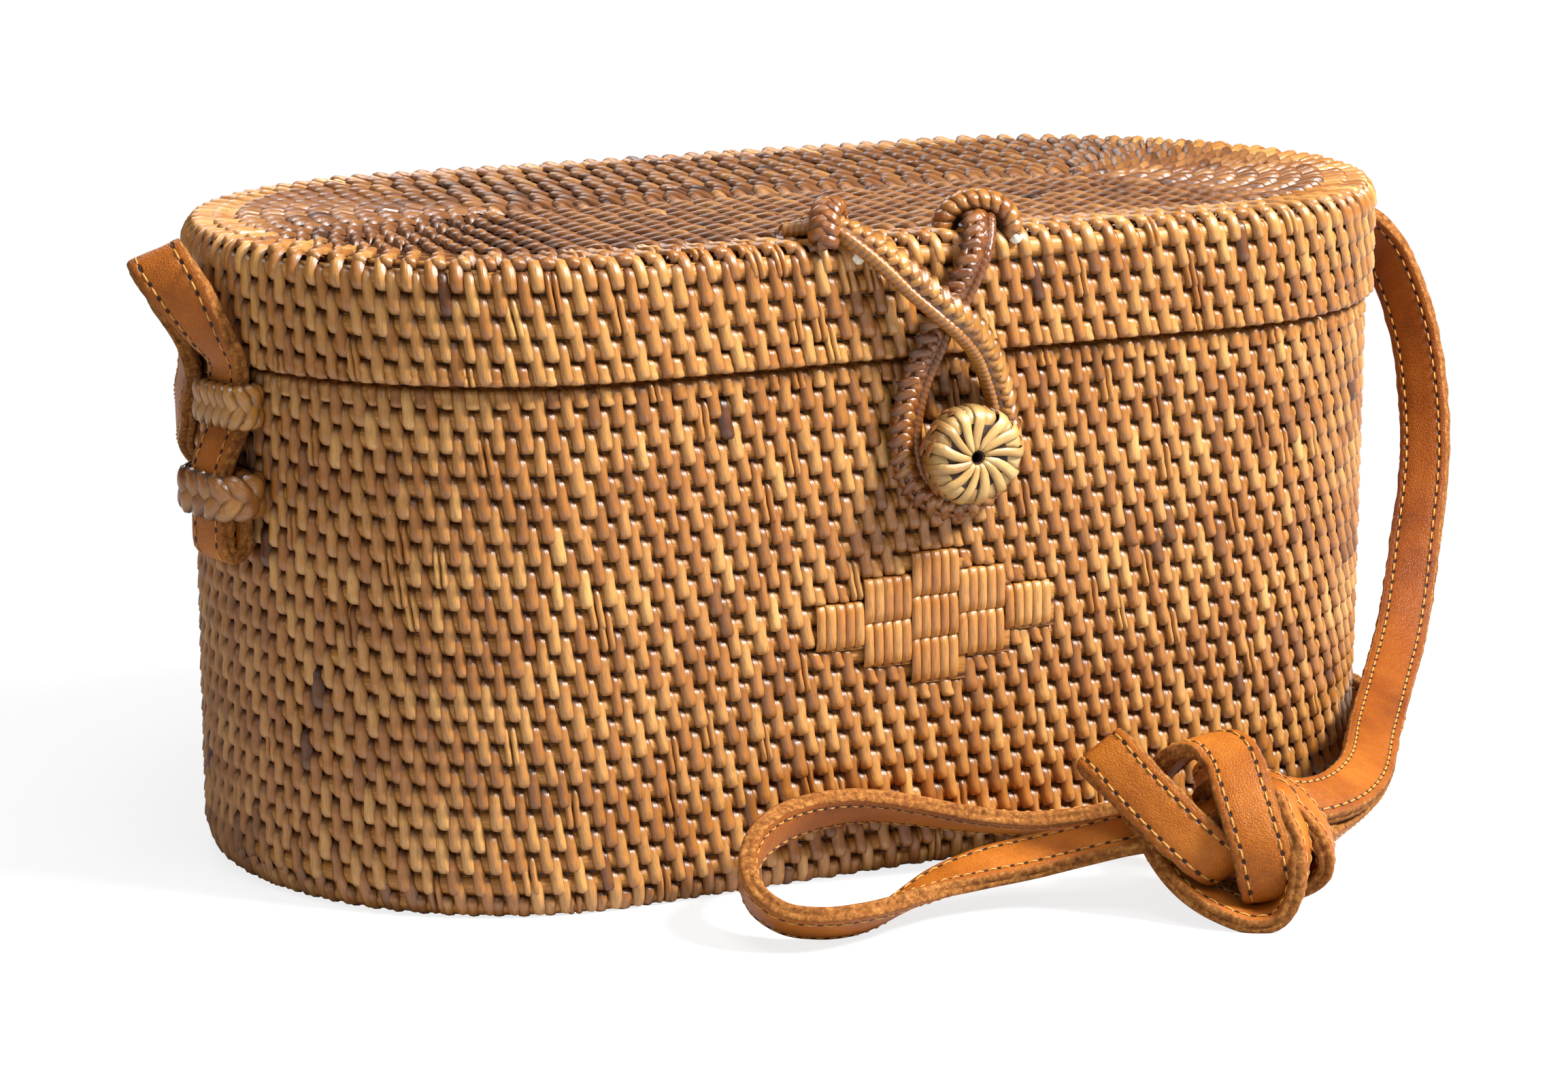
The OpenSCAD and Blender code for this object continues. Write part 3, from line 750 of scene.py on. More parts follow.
@dataclass
class Strap:
    """The sewn strap: left holder, behind the bag, the knot, out to a bight, back, and the right holder.

    Each place of its course is x, y and z with the direction of the strap's width there.
    """

    finishes: Finishes
    width: float = 12.0
    step: float = 1.2
    hole_pitch = 3.2
    hole_line = 4.1
    thread_rest = 1.72
    thread_radius = 0.24
    worn_from = 1290.0
    worn_over = 90.0

    def end(self, side: int) -> list[list[float]]:
        """From the tail behind the lower ring down to the fold, up through both rings to the rim."""
        fold = [(6.3 - 2.2 * math.cos(a), 76.0 - 2.2 * math.sin(a)) for a in np.linspace(0, math.pi, 7)]
        rising = [(8.5, 84.0), (8.5, 91.5), (6.5, 96.3), (4.1, 101.5), (4.1, 108.0)]
        places = [(4.1, 92.6), (4.1, 84.0), *fold, *rising]
        return [[*holder_place(side, out), z, *HOLDER_ACROSS] for out, z in places]

    def left_run(self) -> list[list[float]]:
        """Over the left arch, down behind the bag, on edge along the back and round the right end."""
        arch = [
            [-141.5, -15, 114.2, .21, -.98, 0], [-144.8, -14.8, 119.6, .4, -.9, .1],
            [-148.3, -14, 125.5, .6, -.75, .25], [-152, -12, 131.8, .78, -.5, .35],
            [-153.8, -8.8, 135.6, .82, -.42, .38], [-152.2, -4.8, 133.4, .88, -.2, .3],
            [-147.6, -2, 127, .85, .2, .2], [-144.4, 1.5, 119, .5, .84, .1], [-142.2, 6.5, 110, .2, .97, .05],
            [-141.2, 13, 101.5, .22, .97, 0], [-136.5, 27.2, 93, .35, .9, .1], [-126, 47, 82, .3, .85, .25],
            [-114.5, 62.8, 68, .2, .7, .5], [-104, 71, 54, .3, .6, .5], [-95, 76, 40, .4, .4, .7],
            [-86, 78.5, 26, .5, .2, .8], [-75, 79, 14, .4, 0, .9], [-60, 79, 7.8, .1, 0, 1],
        ]
        on_edge = [
            (-42, 78.5), (-20, 78), (4, 78), (28, 78.5), (52, 79), (76, 78), (98, 73), (116, 65), (130, 53),
            (140.5, 37), (146, 18), (147.5, -5), (143, -29), (133.5, -46), (122, -60.5),
        ]
        last = [
            [112, -74, 6.4, .2, -.25, .9], [98.5, -87, 6.2, .4, -.45, .7], [84.5, -98.5, 6, .45, -.55, .65],
            [71, -109, 6.3, .4, -.5, .7], [61, -116, 7, .5, -.4, .7],
        ]
        return arch + [[x, y, 6.2, 0, 0, 1] for x, y in on_edge] + last

    def knot_first(self) -> list[list[float]]:
        """From the left run up the knot's front band, over its top, down inside and up its right side."""
        return [
            [51.5, -124.6, 6.6, .75, -.45, .4], [44.5, -132, 6.2, .87, -.45, .15],
            [40.6, -136, 7.6, .87, -.45, .2], [38.6, -137, 11.8, .87, -.45, .2],
            [37.4, -136.4, 17.4, .87, -.45, .2], [36.8, -133.8, 23, .87, -.45, .2],
            [37.3, -129, 28.6, .87, -.45, .2], [38.8, -122.8, 32.8, .88, -.42, .2],
            [38.4, -117, 34.2, .9, -.25, .15], [35.4, -111.6, 32.6, .9, .1, .1],
            [32, -107.2, 27.6, .85, .45, 0], [30.5, -104.5, 20, .7, .7, 0], [33, -105, 11.5, .55, .83, 0],
            [39, -109.5, 5, .457, .89, 0], [47, -116.5, 2.6, .457, .89, 0], [54.2, -125, 4, .5, .86, 0],
            [57.8, -130, 8.6, .55, .83, 0], [57.4, -130.6, 14, .56, .82, .05],
            [54.6, -128.4, 20, .56, .82, .1], [49.6, -124.6, 25, .54, .83, .1],
            [45, -118.5, 27, .45, .87, -.05], [42, -110.5, 24, .43, .85, -.15],
        ]

    def bight(self) -> list[list[float]]:
        """Out to the bight's tip and back, its width tipped up toward the front by so many degrees."""
        places = [
            (46, -102, 17, 25), (43, -89, 12, 25), (34.5, -80, 9.8, 25), (26.4, -76.4, 8.6, 25),
            (16.8, -74.8, 8.8, 25), (3.4, -74.4, 11.4, 28), (-10.1, -74.6, 15.1, 32),
            (-20.2, -74.8, 17.4, 36), (-29.1, -75.4, 18.4, 40), (-39.3, -77.4, 18.4, 43),
            (-47.8, -81, 17.5, 44), (-55, -86.5, 15.4, 43), (-59.2, -92.8, 12.4, 41), (-59.8, -98.6, 9, 39),
            (-56.4, -104, 6.2, 37), (-50, -107.4, 5.3, 36), (-42, -107.8, 5, 33), (-34, -105.3, 4.8, 24),
            (-26, -101.5, 5.3, 12), (-16, -98.8, 7, -3), (-6.5, -99, 8.7, -14), (2, -101, 10.1, -18),
            (10, -104, 11.9, -18), (19.8, -110.6, 15.4, -18),
        ]
        tips = [math.radians(place[3]) for place in places]
        return [[x, y, z, .46 * math.cos(a), .89 * math.cos(a), -math.sin(a)]
                for (x, y, z, _), a in zip(places, tips)]

    def knot_second(self) -> list[list[float]]:
        """From the bight behind the bands to the knot's right, round its foot, and over into the left band."""
        return [
            [28, -113.4, 16.4, .45, .87, .2], [35.6, -118.5, 19.4, .457, .89, .1],
            [42, -124, 24.6, .5, .86, 0], [46.2, -129, 25.8, .61, .79, 0], [46.4, -133.6, 21.9, .64, .77, 0],
            [46.8, -136.6, 17, .64, .77, 0], [45.8, -138.4, 11, .62, .78, .03],
            [44.2, -138, 6.2, .57, .82, .08], [41.6, -136.6, 3, .5, .86, .12],
            [37.4, -134.4, 2.1, .45, .88, .14], [32.5, -129.8, 3.7, .45, .88, .14],
            [28.4, -123, 7, .45, .88, .12], [26, -116.4, 11.6, .5, .86, .05],
            [24.4, -111.8, 17, .55, .83, .05], [22.4, -108.6, 23, .65, .7, .15],
            [19.8, -105.6, 28.8, .75, .3, .4], [17.9, -104.9, 32.2, .74, -.2, .6],
            [17.9, -108.4, 32.4, .69, -.36, .62], [19.2, -113.8, 29, .69, -.36, .62],
            [22.6, -120.6, 23.4, .69, -.36, .62], [27, -125.8, 17.8, .69, -.36, .62],
            [31.6, -128.6, 13.6, .69, -.36, .62], [37.4, -127.4, 11.6, .75, -.45, .45],
            [44.6, -121, 13, .8, -.5, .1], [50.5, -114.4, 17, .72, -.48, -.3],
        ]

    def right_run(self) -> list[list[float]]:
        """From the knot out along the floor and up to the right arch."""
        return [
            [58.5, -111.6, 17.6, .65, -.42, -.5], [69.4, -109.4, 16, .72, -.42, -.45],
            [81, -103.4, 15, .78, -.45, -.42], [94.6, -91.8, 15.2, .8, -.45, -.42],
            [111.6, -71.4, 17.4, .84, -.45, -.3], [129.7, -50.9, 22, .78, -.55, -.25],
            [146, -33.5, 30, .7, -.66, -.2], [158.5, -20, 45.5, .62, -.77, -.1],
            [169.2, -8, 67.5, .55, -.83, 0], [172.4, 1.5, 90.5, .5, -.86, 0], [171, 7.6, 104.5, .5, -.85, .1],
            [168, 11, 113.4, .48, -.86, .1], [163, 13, 119.6, .42, -.88, .15],
            [156, 14.4, 122.6, .35, -.92, .15], [148.4, 15, 122.2, .25, -.95, .1],
            [142.8, 15.1, 118.6, .21, -.98, 0], [141.5, 15, 114.2, .21, -.98, 0],
        ]

    def course(self) -> Course:
        """The whole strap from tail to tail."""
        route = (self.end(-1) + self.left_run() + self.knot_first() + self.bight() + self.knot_second()
                 + self.right_run() + self.end(1)[::-1])
        return Course.through(np.array(route, float), self.step)

    def outline(self) -> tuple[Array, Array, Array]:
        """The section: two faces with a dip along each seam, and raw edges with the layers' joint between."""
        half, line = self.width / 2, self.hole_line
        inner_w = np.array([half - .35, line + .55, line, line - .55, 1.6])
        inner_h = np.array([1.66, 1.86, 1.7, 1.88, 1.95])
        face_w = np.concatenate([-inner_w, inner_w[::-1]])
        face_h = np.concatenate([inner_h, inner_h[::-1]])
        edge_w = np.array([half, half + .06, half - .22, half + .06, half])
        edge_h = np.array([1.25, .35, 0, -.35, -1.25])
        wide = np.concatenate([face_w, edge_w, face_w[::-1], -edge_w])
        high = np.concatenate([face_h, edge_h, -face_h, edge_h[::-1]])
        raw = np.tile(np.repeat([0.0, 1.0], [10, 5]), 2)
        raw[[0, 9, 15, 24]] = 0.45
        return wide, high, raw

    def threads(self, course: Course) -> Array:
        """Sewing thread: one low arch from each needle hole to the next, on both faces along both seams."""
        holes = np.arange(self.hole_pitch / 2, course.length - self.hole_pitch, self.hole_pitch)
        t = np.array([0.12, 0.32, 0.5, 0.68, 0.88])
        spot = course.at((holes[:, None] + self.hole_pitch * t).ravel())
        rise = each(np.tile([-0.18, 0.16, 0.24, 0.16, -0.18], len(holes)))
        thin = each(np.tile([0.55, 0.9, 1.0, 0.9, 0.55], len(holes)))
        across, off = spot.across[:, None], spot.off[:, None]
        cos, sin = (v[:, None] for v in circle(5))
        grids = []
        for seam in (-self.hole_line, self.hole_line):
            for face in (-1, 1):
                middle = spot.line[:, None] + seam * across + face * (self.thread_rest + rise) * off
                ring = middle + self.thread_radius * thin * (cos * across + face * 0.8 * sin * off)
                grids.append(ring.reshape(len(holes), 5, 5, 3))
        return np.concatenate(grids)

    def build(self) -> None:
        """The strap and its thread."""
        course = self.course()
        wide, high, raw = self.outline()
        rng = np.random.default_rng(11)
        shake = rng.normal(0, 0.11, (len(course.line), len(wide))) * (raw > 0.9)
        shake = (shake + np.roll(shake, 1, 0)) * 0.7
        taper = np.ones((len(course.line), 1))
        taper[[0, -1]] = 0.05
        rings = course.section((wide + shake * np.sign(wide)) * taper, high * taper)
        shell = Shell()
        shell.tube(rings, uv=layered(course.run[:, None], wide), edge=raw)
        strap = shell.object("strap", self.finishes.leather)
        thread = Shell()
        grids = self.threads(course)
        mid = grids.mean(2)
        turn = np.cross(grids[:, 2, 1] - grids[:, 2, 0], mid[:, 3] - mid[:, 1])
        facing = np.sum(turn * (grids[:, 2, 0] - mid[:, 2]), -1)
        for turned in (False, True):
            thread.add(grids[(facing > 0) == turned], around=True, flip=turned)
        sewing = thread.object("strap_thread", self.finishes.thread)
        dress(strap, Body.BASKET, Slot.LEATHER, "strap_end_left", "strap_end_right", "strap_left_run",
              "strap_right_run", "strap_bight", "strap_knot")
        dress(sewing, Body.BASKET, Slot.LEATHER)
        LOG.info("strap: %.0f mm long", course.length)


# The closure loop and its knots


@dataclass
class ClosureLoop:
    """The flat plaited loop: a thick wound ridge inside, a thin one outside and a chain of lobes between."""

    finishes: Finishes
    width: float = 6.8
    pitch: float = 3.1
    step: float = 0.32
    ridge_sides: int = 12
    ridge_parts: int = 30
    wind_pitch: float = 1.35
    wind_slant: float = 0.32
    pale_share: float = 0.42
    pale_tone: float = 0.74

    # A ridge's offset, half width, half height and lift
    ridge_rows = ((-2.1, 1.3, 1.6, 0.1), (2.6, 0.7, 1.2, -0.3))
    # A row's offset, lean, length, width, rise and shift in pitches
    lobe_rows = ((1.75, -0.9, 5.2, 3.1, 1.3, 0.0), (-0.1, 0.9, 4.8, 3.0, 1.2, 0.5))

    def course(self) -> Course:
        """From behind the left knot, over the lid's edge, round the button and back to the right knot."""
        first = [
            (-34.5, -59.4, 140.6, 0, 1), (-28.5, -63.5, 141.6, 0, 1), (-25.6, -66.6, 141.4, -.4, 1),
            (-22.4, -70.2, 139.4, -.7, .7), (-17.4, -73.8, 135.1, -1, .4),
        ]
        front = [
            (-11.4, -75.8, 129.4), (-6.3, -77.8, 124.7), (-.6, -77.4, 120), (5.2, -74.8, 114.3),
            (9.4, -72.4, 107.5), (11.8, -71.5, 101.1), (12.6, -71.4, 94.6), (11.6, -71.4, 88),
            (7.6, -71.4, 83), (1, -71.4, 81.4), (-5, -71.4, 83.2), (-9.4, -71.4, 87.6), (-11.1, -71.4, 93.6),
            (-11, -71.4, 100.5), (-9.7, -71.6, 106.6), (-8.1, -72.2, 111.6), (-5.8, -72.7, 116.6),
            (-2.9, -72.7, 122.4), (.3, -72.7, 126.8), (2.9, -73.4, 132.3),
        ]
        last = [
            (5.2, -72.4, 136.8, -1, .5), (7.2, -69.4, 140.6, -.7, .7), (8.8, -65.6, 141.7, -.2, 1),
            (10, -62, 141.6, 0, 1), (11.2, -58.8, 140.8, 0, 1),
        ]
        places = first + [(*place, -1, 0) for place in front] + last
        return Course.through(np.insert(np.array(places, float), 3, 0.0, axis=1), self.step, facing=True)

    def winding(self, course: Course) -> Array:
        """The slanting turn of the ridge's strand at each place of its tube."""
        cos, sin = circle(self.ridge_sides)
        return math.pi * (course.run[:, None] / self.wind_pitch + self.wind_slant * np.arctan2(sin, cos))

    def ridges(self, shell: Shell, course: Course, tone: Array, ends: Array) -> None:
        """Wound side strands: tubes whose radius rises and falls along a slanting turn, toned part by part."""
        cos, sin = circle(self.ridge_sides)
        winding = self.winding(course)
        wound = 1 + 0.1 * np.abs(np.sin(winding))
        # Painted shade in the grooves between the ridge's windings, carried in the edge mask
        grooves = 0.5 * np.abs(np.cos(winding)) ** 4
        uv = layered(course.run[:, None], 1.6 * np.arange(self.ridge_sides))
        for out, wide, high, low in self.ridge_rows:
            rings = course.section(out + wide * wound * cos, low + high * wound * sin)
            mid = rings.mean(1, keepdims=True)
            rings = mid + (rings - mid) * ends[:, :, None]
            for part in np.array_split(np.arange(len(rings) - 1), self.ridge_parts):
                span = slice(part[0], part[-1] + 2)
                shell.tube(rings[span], uv=uv[span], tone=0.9 * tone[part].mean(), edge=grooves[span])

    def lobes(self, shell: Shell, course: Course, tone: Array) -> None:
        """The chain: two staggered rows of lobes, leaning toward each other, each tucked in at its base."""
        style = LobeStyle()
        rng = np.random.default_rng(5)
        for out, lean, length, width, rise, shift in self.lobe_rows:
            where = np.arange(1.5 + shift * self.pitch, course.length - 1.5, self.pitch)
            count = len(where)
            spot = course.at(where + rng.normal(0, .12, count))
            axis = unit(spot.along + lean * spot.across)
            tilt = unit(spot.off - 0.18 * spot.along)
            centre = spot.line + out * spot.across + 0.95 * spot.off
            lengths = length * rng.normal(1, .04, count)
            grid, uv = style.grids(centre, axis, tilt, lengths, width * rng.normal(1, .05, count), rise)
            tones = toned(rng, np.interp(where, course.run, tone), .09, count)
            shell.add(grid, uv, tones, edge=style.shade(), flip=True)

    def build(self) -> None:
        """The loop, which rides on the lid; it is paler on its first, left part."""
        course = self.course()
        share = course.run / course.length
        fall = 0.36 * np.clip((share - self.pale_share) / 0.3, 0, 1)
        tone = np.where(share < self.pale_share, self.pale_tone, self.pale_tone - fall)
        cos, sin = circle(10)
        ends = np.ones((len(course.line), 1))
        ends[[0, -1]] = 0.1
        shell = Shell()
        # A dark base tube, painted as shade under the ridges and lobes
        shell.tube(course.section(2.6 * cos * ends, 1.5 * sin * ends), tone=0.12)
        self.ridges(shell, course, tone, ends)
        self.lobes(shell, course, tone)
        loop = shell.object("closure_loop_plait", self.finishes.plait)
        dress(loop, Body.LID, Slot.CANE_DARK, "closure_loop")
        LOG.info("closure loop: %.0f mm long", course.length)


@dataclass
class ArchKnot:
    """A plaited arch over the cord where it goes into the lid, with a pale pith end beside it."""

    finishes: Finishes
    name: str
    node: str
    centre: Place
    axis: tuple[float, float]
    half_wide: float
    half_high: float
    tube: float
    waves: float
    tone: float
    pith: Place
    pith_way: Place
    strand: float = 3.0
    core_share: float = 0.72
    sway: float = 1.25
    overrun: float = 0.25

    def surface(self, turn: Array, across: Array, radius: Array | float) -> tuple[Array, Array]:
        """Places on the arch's tube and the directions off it.

        Args:
            turn: angles over the arch.
            across: angles round its tube.
            radius: distances from the tube's middle.

        Returns:
            The places and the directions off the tube.
        """
        axis = unit(np.array([*self.axis, 0.0]))
        flat, up = np.array([-axis[1], axis[0], 0.0]), np.array([0.0, 0.0, 1.0])
        cos, sin = np.cos(turn)[..., None], np.sin(turn)[..., None]
        spine = np.array(self.centre) + self.half_wide * cos * flat + self.half_high * sin * up
        out = unit(cos / self.half_wide * flat + sin / self.half_high * up)
        off = np.cos(across)[..., None] * out + np.sin(across)[..., None] * axis
        return spine + np.asarray(radius)[..., None] * off, off

    def build(self) -> None:
        """The arch: three strands weave across the tube, each passing over and under the others in turn."""
        shell = Shell()
        turn = np.linspace(-self.overrun, math.pi + self.overrun, 140)
        ring = np.linspace(0, TAU, 12, endpoint=False)
        # The core is painted near black as shade between the strands
        core, _ = self.surface(*np.meshgrid(turn, ring, indexing="ij"), self.tube * self.core_share)
        shell.tube(core, tone=0.1, slot=1)
        for phase in range(3):
            wave = self.waves * TAU * (turn - turn[0]) / (turn[-1] - turn[0]) + phase * TAU / 3
            radius = self.tube * (0.92 + 0.16 * np.sin(2 * wave))
            line, off = self.surface(turn, self.sway * np.sin(wave), radius)
            grid, uv = strand_grid(line, off, self.strand, False)
            shell.add(grid, uv, self.tone + 0.08 * (phase - 1), edge=STRAND_SHADE, flip=True)
        way = unit(np.array(self.pith_way))
        side = unit(np.cross(way, [0, 0, 1.0]))
        over = np.cross(side, way)
        cos, sin = (v[:, None] for v in circle(9))
        run = each(np.array([-6, -4, -2, -0.6, 0.2, 0.9, 1.4, 1.5]))
        girth = each(np.array([1.1, 1.3, 1.35, 1.35, 1.5, 1.35, .8, .1]))
        rings = np.array(self.pith) + run * way + girth * (cos * side + sin * over)
        shell.tube(rings[:4], tone=0.5)
        shell.tube(rings[3:], tone=0.5, slot=2)
        knot = shell.object(self.name, self.finishes.plait, self.finishes.core, self.finishes.pith)
        dress(knot, Body.LID, Slot.CANE_DARK, self.node)


# The strap's plaited rings


@dataclass
class PlaitRing:
    """A three-strand plait closed round the strap, laid over the ring's own core."""

    finishes: Finishes
    node: str
    side: int
    out: float
    slot_radius: float
    low: float
    waves: int
    strand: float
    height: float = 9.4
    wall: float = 1.6
    slot_long: float = 12.0
    tone: float = 0.68

    def build(self) -> None:
        """Each strand swings up and down round the ring and in and out at twice that rate."""
        away = holder_way(self.side)
        along = np.array([-away[1], away[0]])
        middle = holder_place(self.side, self.out)
        oval = Oval(self.slot_long - 0.7 * self.slot_radius)
        radius = self.slot_radius + self.wall
        share = np.linspace(0, 1, 240, endpoint=False)
        shell = Shell()
        rng = np.random.default_rng(int(self.low) + self.side + 3)
        for phase in range(3):
            wave = TAU * (self.waves * share + phase / 3)
            sway = radius - 0.1 + 0.5 * np.sin(2 * wave)
            flat, out = oval.place(share * oval.length(radius), radius, sway)
            z = self.low + self.height / 2 + (self.height / 2 - 0.42 * self.strand) * np.sin(wave)
            line = np.column_stack([middle + flat[:, :1] * along + flat[:, 1:] * away, z])
            off = np.column_stack([out[:, :1] * along + out[:, 1:] * away, 0 * z])
            grid, uv = strand_grid(line, off, self.strand, True)
            shell.add(grid, uv, self.tone + rng.normal(0, 0.05), edge=STRAND_SHADE, ring=True, flip=True)
        dress(shell.object(self.node + "_plait", self.finishes.plait), Body.BASKET, Slot.CANE_DARK)
        # The ring's own core is painted near black as shade between the strands
        paint(self.node, self.finishes.core)


# The coiled weave


@dataclass(frozen=True)
class CoilChain:
    """Rods one after another: where the crest line lies and which way it faces, by rods passed."""

    count: tuple[float, ...]
    out: tuple[float, ...]
    height: tuple[float, ...]
    face_out: tuple[float, ...]
    face_up: tuple[float, ...]

    def at(self, q: Array) -> tuple[Array, Array, Array, Array]:
        """Distance out, height and facing at a rod count."""
        columns = (self.out, self.height, self.face_out, self.face_up)
        r, z, a, b = (np.interp(q, self.count, column) for column in columns)
        size = np.maximum(np.hypot(a, b), 1e-9)
        return r, z, a / size, b / size


@dataclass(frozen=True)
class StitchStyle:
    """How one kind of stitch rises and widens from its upper end to its lower end."""

    along: tuple[float, ...] = (0.0, 0.05, 0.15, 0.32, 0.5, 0.68, 0.84, 0.94, 1.0)
    lift: tuple[float, ...] = (-1.0, -0.05, 0.65, 1.0, 0.85, 1.2, 1.35, 0.85, -0.9)
    breadth: tuple[float, ...] = (0.75, 0.86, 0.94, 1.0, 1.0, 1.02, 1.02, 0.92, 0.6)
    across: tuple[float, ...] = (-1.0, -0.7, 0.0, 0.7, 1.0)
    droop: tuple[float, ...] = (-1.2, -0.34, 0.0, -0.34, -1.2)
    width: float = 2.9
    pitch: float = 5.45
    lean: float = 1.35
    shift: float = 0.45
    tone: float = 0.59
    spread: float = 0.12
    dark_share: float = 0.012
    split_share: float = 0.05
    wander: float = 0.2
    width_spread: float = 0.08
    lean_spread: float = 0.25
    lift_spread: float = 0.06


@dataclass
class StitchField:
    """Stitches over a chain of rods, each over two rods and a step to the side of the one above."""

    chain: CoilChain
    style: StitchStyle
    seed: int
    levels: tuple[int, int]
    limit: tuple[float, float]
    inward: bool = False
    blocks: tuple[tuple[float, float], ...] = ()
    block_half: float = 6.6

    def lay_out(self) -> Lot:
        """Where each stitch starts and ends, how wide it is, how it leans and its tone."""
        style = self.style
        rng = np.random.default_rng(self.seed)
        columns: dict[str, list[Array]] = {key: [] for key in ("s", "ref", "top", "low")}
        for level in range(*self.levels):
            top, low = min(level, self.limit[1]), max(level - 2, self.limit[0])
            ref = float(self.chain.at(np.array((top + low) / 2))[0])
            length = OVAL.length(ref)
            number = int(round(length / style.pitch))
            where = (np.arange(number) + style.shift * (self.levels[1] - level)) * length / number
            columns["s"].append(where)
            for key, value in (("ref", ref), ("top", top), ("low", low)):
                columns[key].append(np.full(number, float(value)))
        lot = {key: np.concatenate(parts) for key, parts in columns.items()}
        number = len(lot["s"])
        lot["s"] = lot["s"] + rng.normal(0, style.wander, number)
        lot["width"] = style.width * rng.normal(1, style.width_spread, number)
        lean = style.lean + rng.normal(0, style.lean_spread, number)
        lot["lean"] = lean * (lot["top"] - lot["low"]) / 2
        lot["lift"] = rng.normal(0, style.lift_spread, number)
        drift = 0.07 * np.sin(lot["s"] / 37 + lot["top"]) + 0.05 * np.sin(lot["s"] / 11 - 2 * lot["top"])
        tone = np.clip(style.tone + drift + rng.normal(0, style.spread, number), 0.05, 1)
        lot["tone"] = np.where(rng.random(number) < style.dark_share, rng.random(number) * 0.25, tone)
        return self.clear_blocks(self.split(lot, rng.random(number) < style.split_share))

    def split(self, lot: Lot, chosen: Array) -> Lot:
        """Part the chosen stitches into two half as wide, side by side."""
        lot = {key: np.concatenate([values, values[chosen]]) for key, values in lot.items()}
        others = int(chosen.sum())
        both = np.concatenate([chosen, np.ones(others, bool)])
        hand = np.concatenate([np.where(chosen, -1.0, 0.0), np.ones(others)])
        lot["s"] = lot["s"] + hand * 0.27 * lot["width"]
        lot["width"] = np.where(both, 0.5, 1.0) * lot["width"]
        return lot

    def clear_blocks(self, lot: Lot) -> Lot:
        """Shorten or drop the stitches that the motif's blocks take the place of."""
        upper, lower = np.zeros((2, len(lot["s"])), bool)
        length = OVAL.length(lot["ref"])
        s = np.mod(lot["s"] + length / 2, length) - length / 2
        for x, q in self.blocks:
            near = np.abs(s - x) < self.block_half
            upper |= near & (np.abs(lot["top"] - 0.5 - q) < 1)
            lower |= near & (np.abs(lot["low"] + 0.5 - q) < 1)
        lot["top"] = np.where(upper, lot["top"] - 1, lot["top"])
        lot["low"] = np.where(lower, lot["low"] + 1, lot["low"])
        return chosen_from(lot, (lot["top"] - lot["low"] > 0.5) | (not self.blocks))

    def fill(self, shell: Shell, lot: Lot | None = None) -> None:
        """Put the stitches into a shell: bent over the rods by the lift, and drooping to both sides."""
        style = self.style
        lot = self.lay_out() if lot is None else lot
        t, breadth, across, droop = map(np.array, (style.along, style.breadth, style.across, style.droop))
        pick = {key: values[:, None] for key, values in lot.items()}
        q = pick["top"] + (pick["low"] - pick["top"]) * t
        r, z, a, b = (v[..., None] for v in self.chain.at(q))
        wide = (0.5 * pick["width"] * breadth)[..., None] * across
        s = (pick["s"] + pick["lean"] * (t - 0.5))[..., None] + wide
        high = (np.array(style.lift) + pick["lift"])[..., None] + droop
        flat, _ = OVAL.place(s, pick["ref"][..., None], r + a * high)
        grid = np.concatenate([flat, (z + b * high)[..., None]], -1)
        run = ROD * np.abs(pick["top"] - q)
        uv = strip_uv(wide, run[..., None], 3.7)
        # Painted shade at the stitches' tucked ends and along their borders, carried in the edge mask
        tucked = np.interp(t, (0, .06, .22, .9, 1), (1, .9, 0, 0, .9))
        shade = np.maximum(tucked[:, None], 0.6 * np.abs(across) ** 4)
        shell.add(grid, uv, lot["tone"], edge=shade, flip=self.inward)


def chosen_from(lot: Lot, keep: Array) -> Lot:
    """The stitches of a lot that a mask keeps."""
    return {key: values[keep] for key, values in lot.items()}


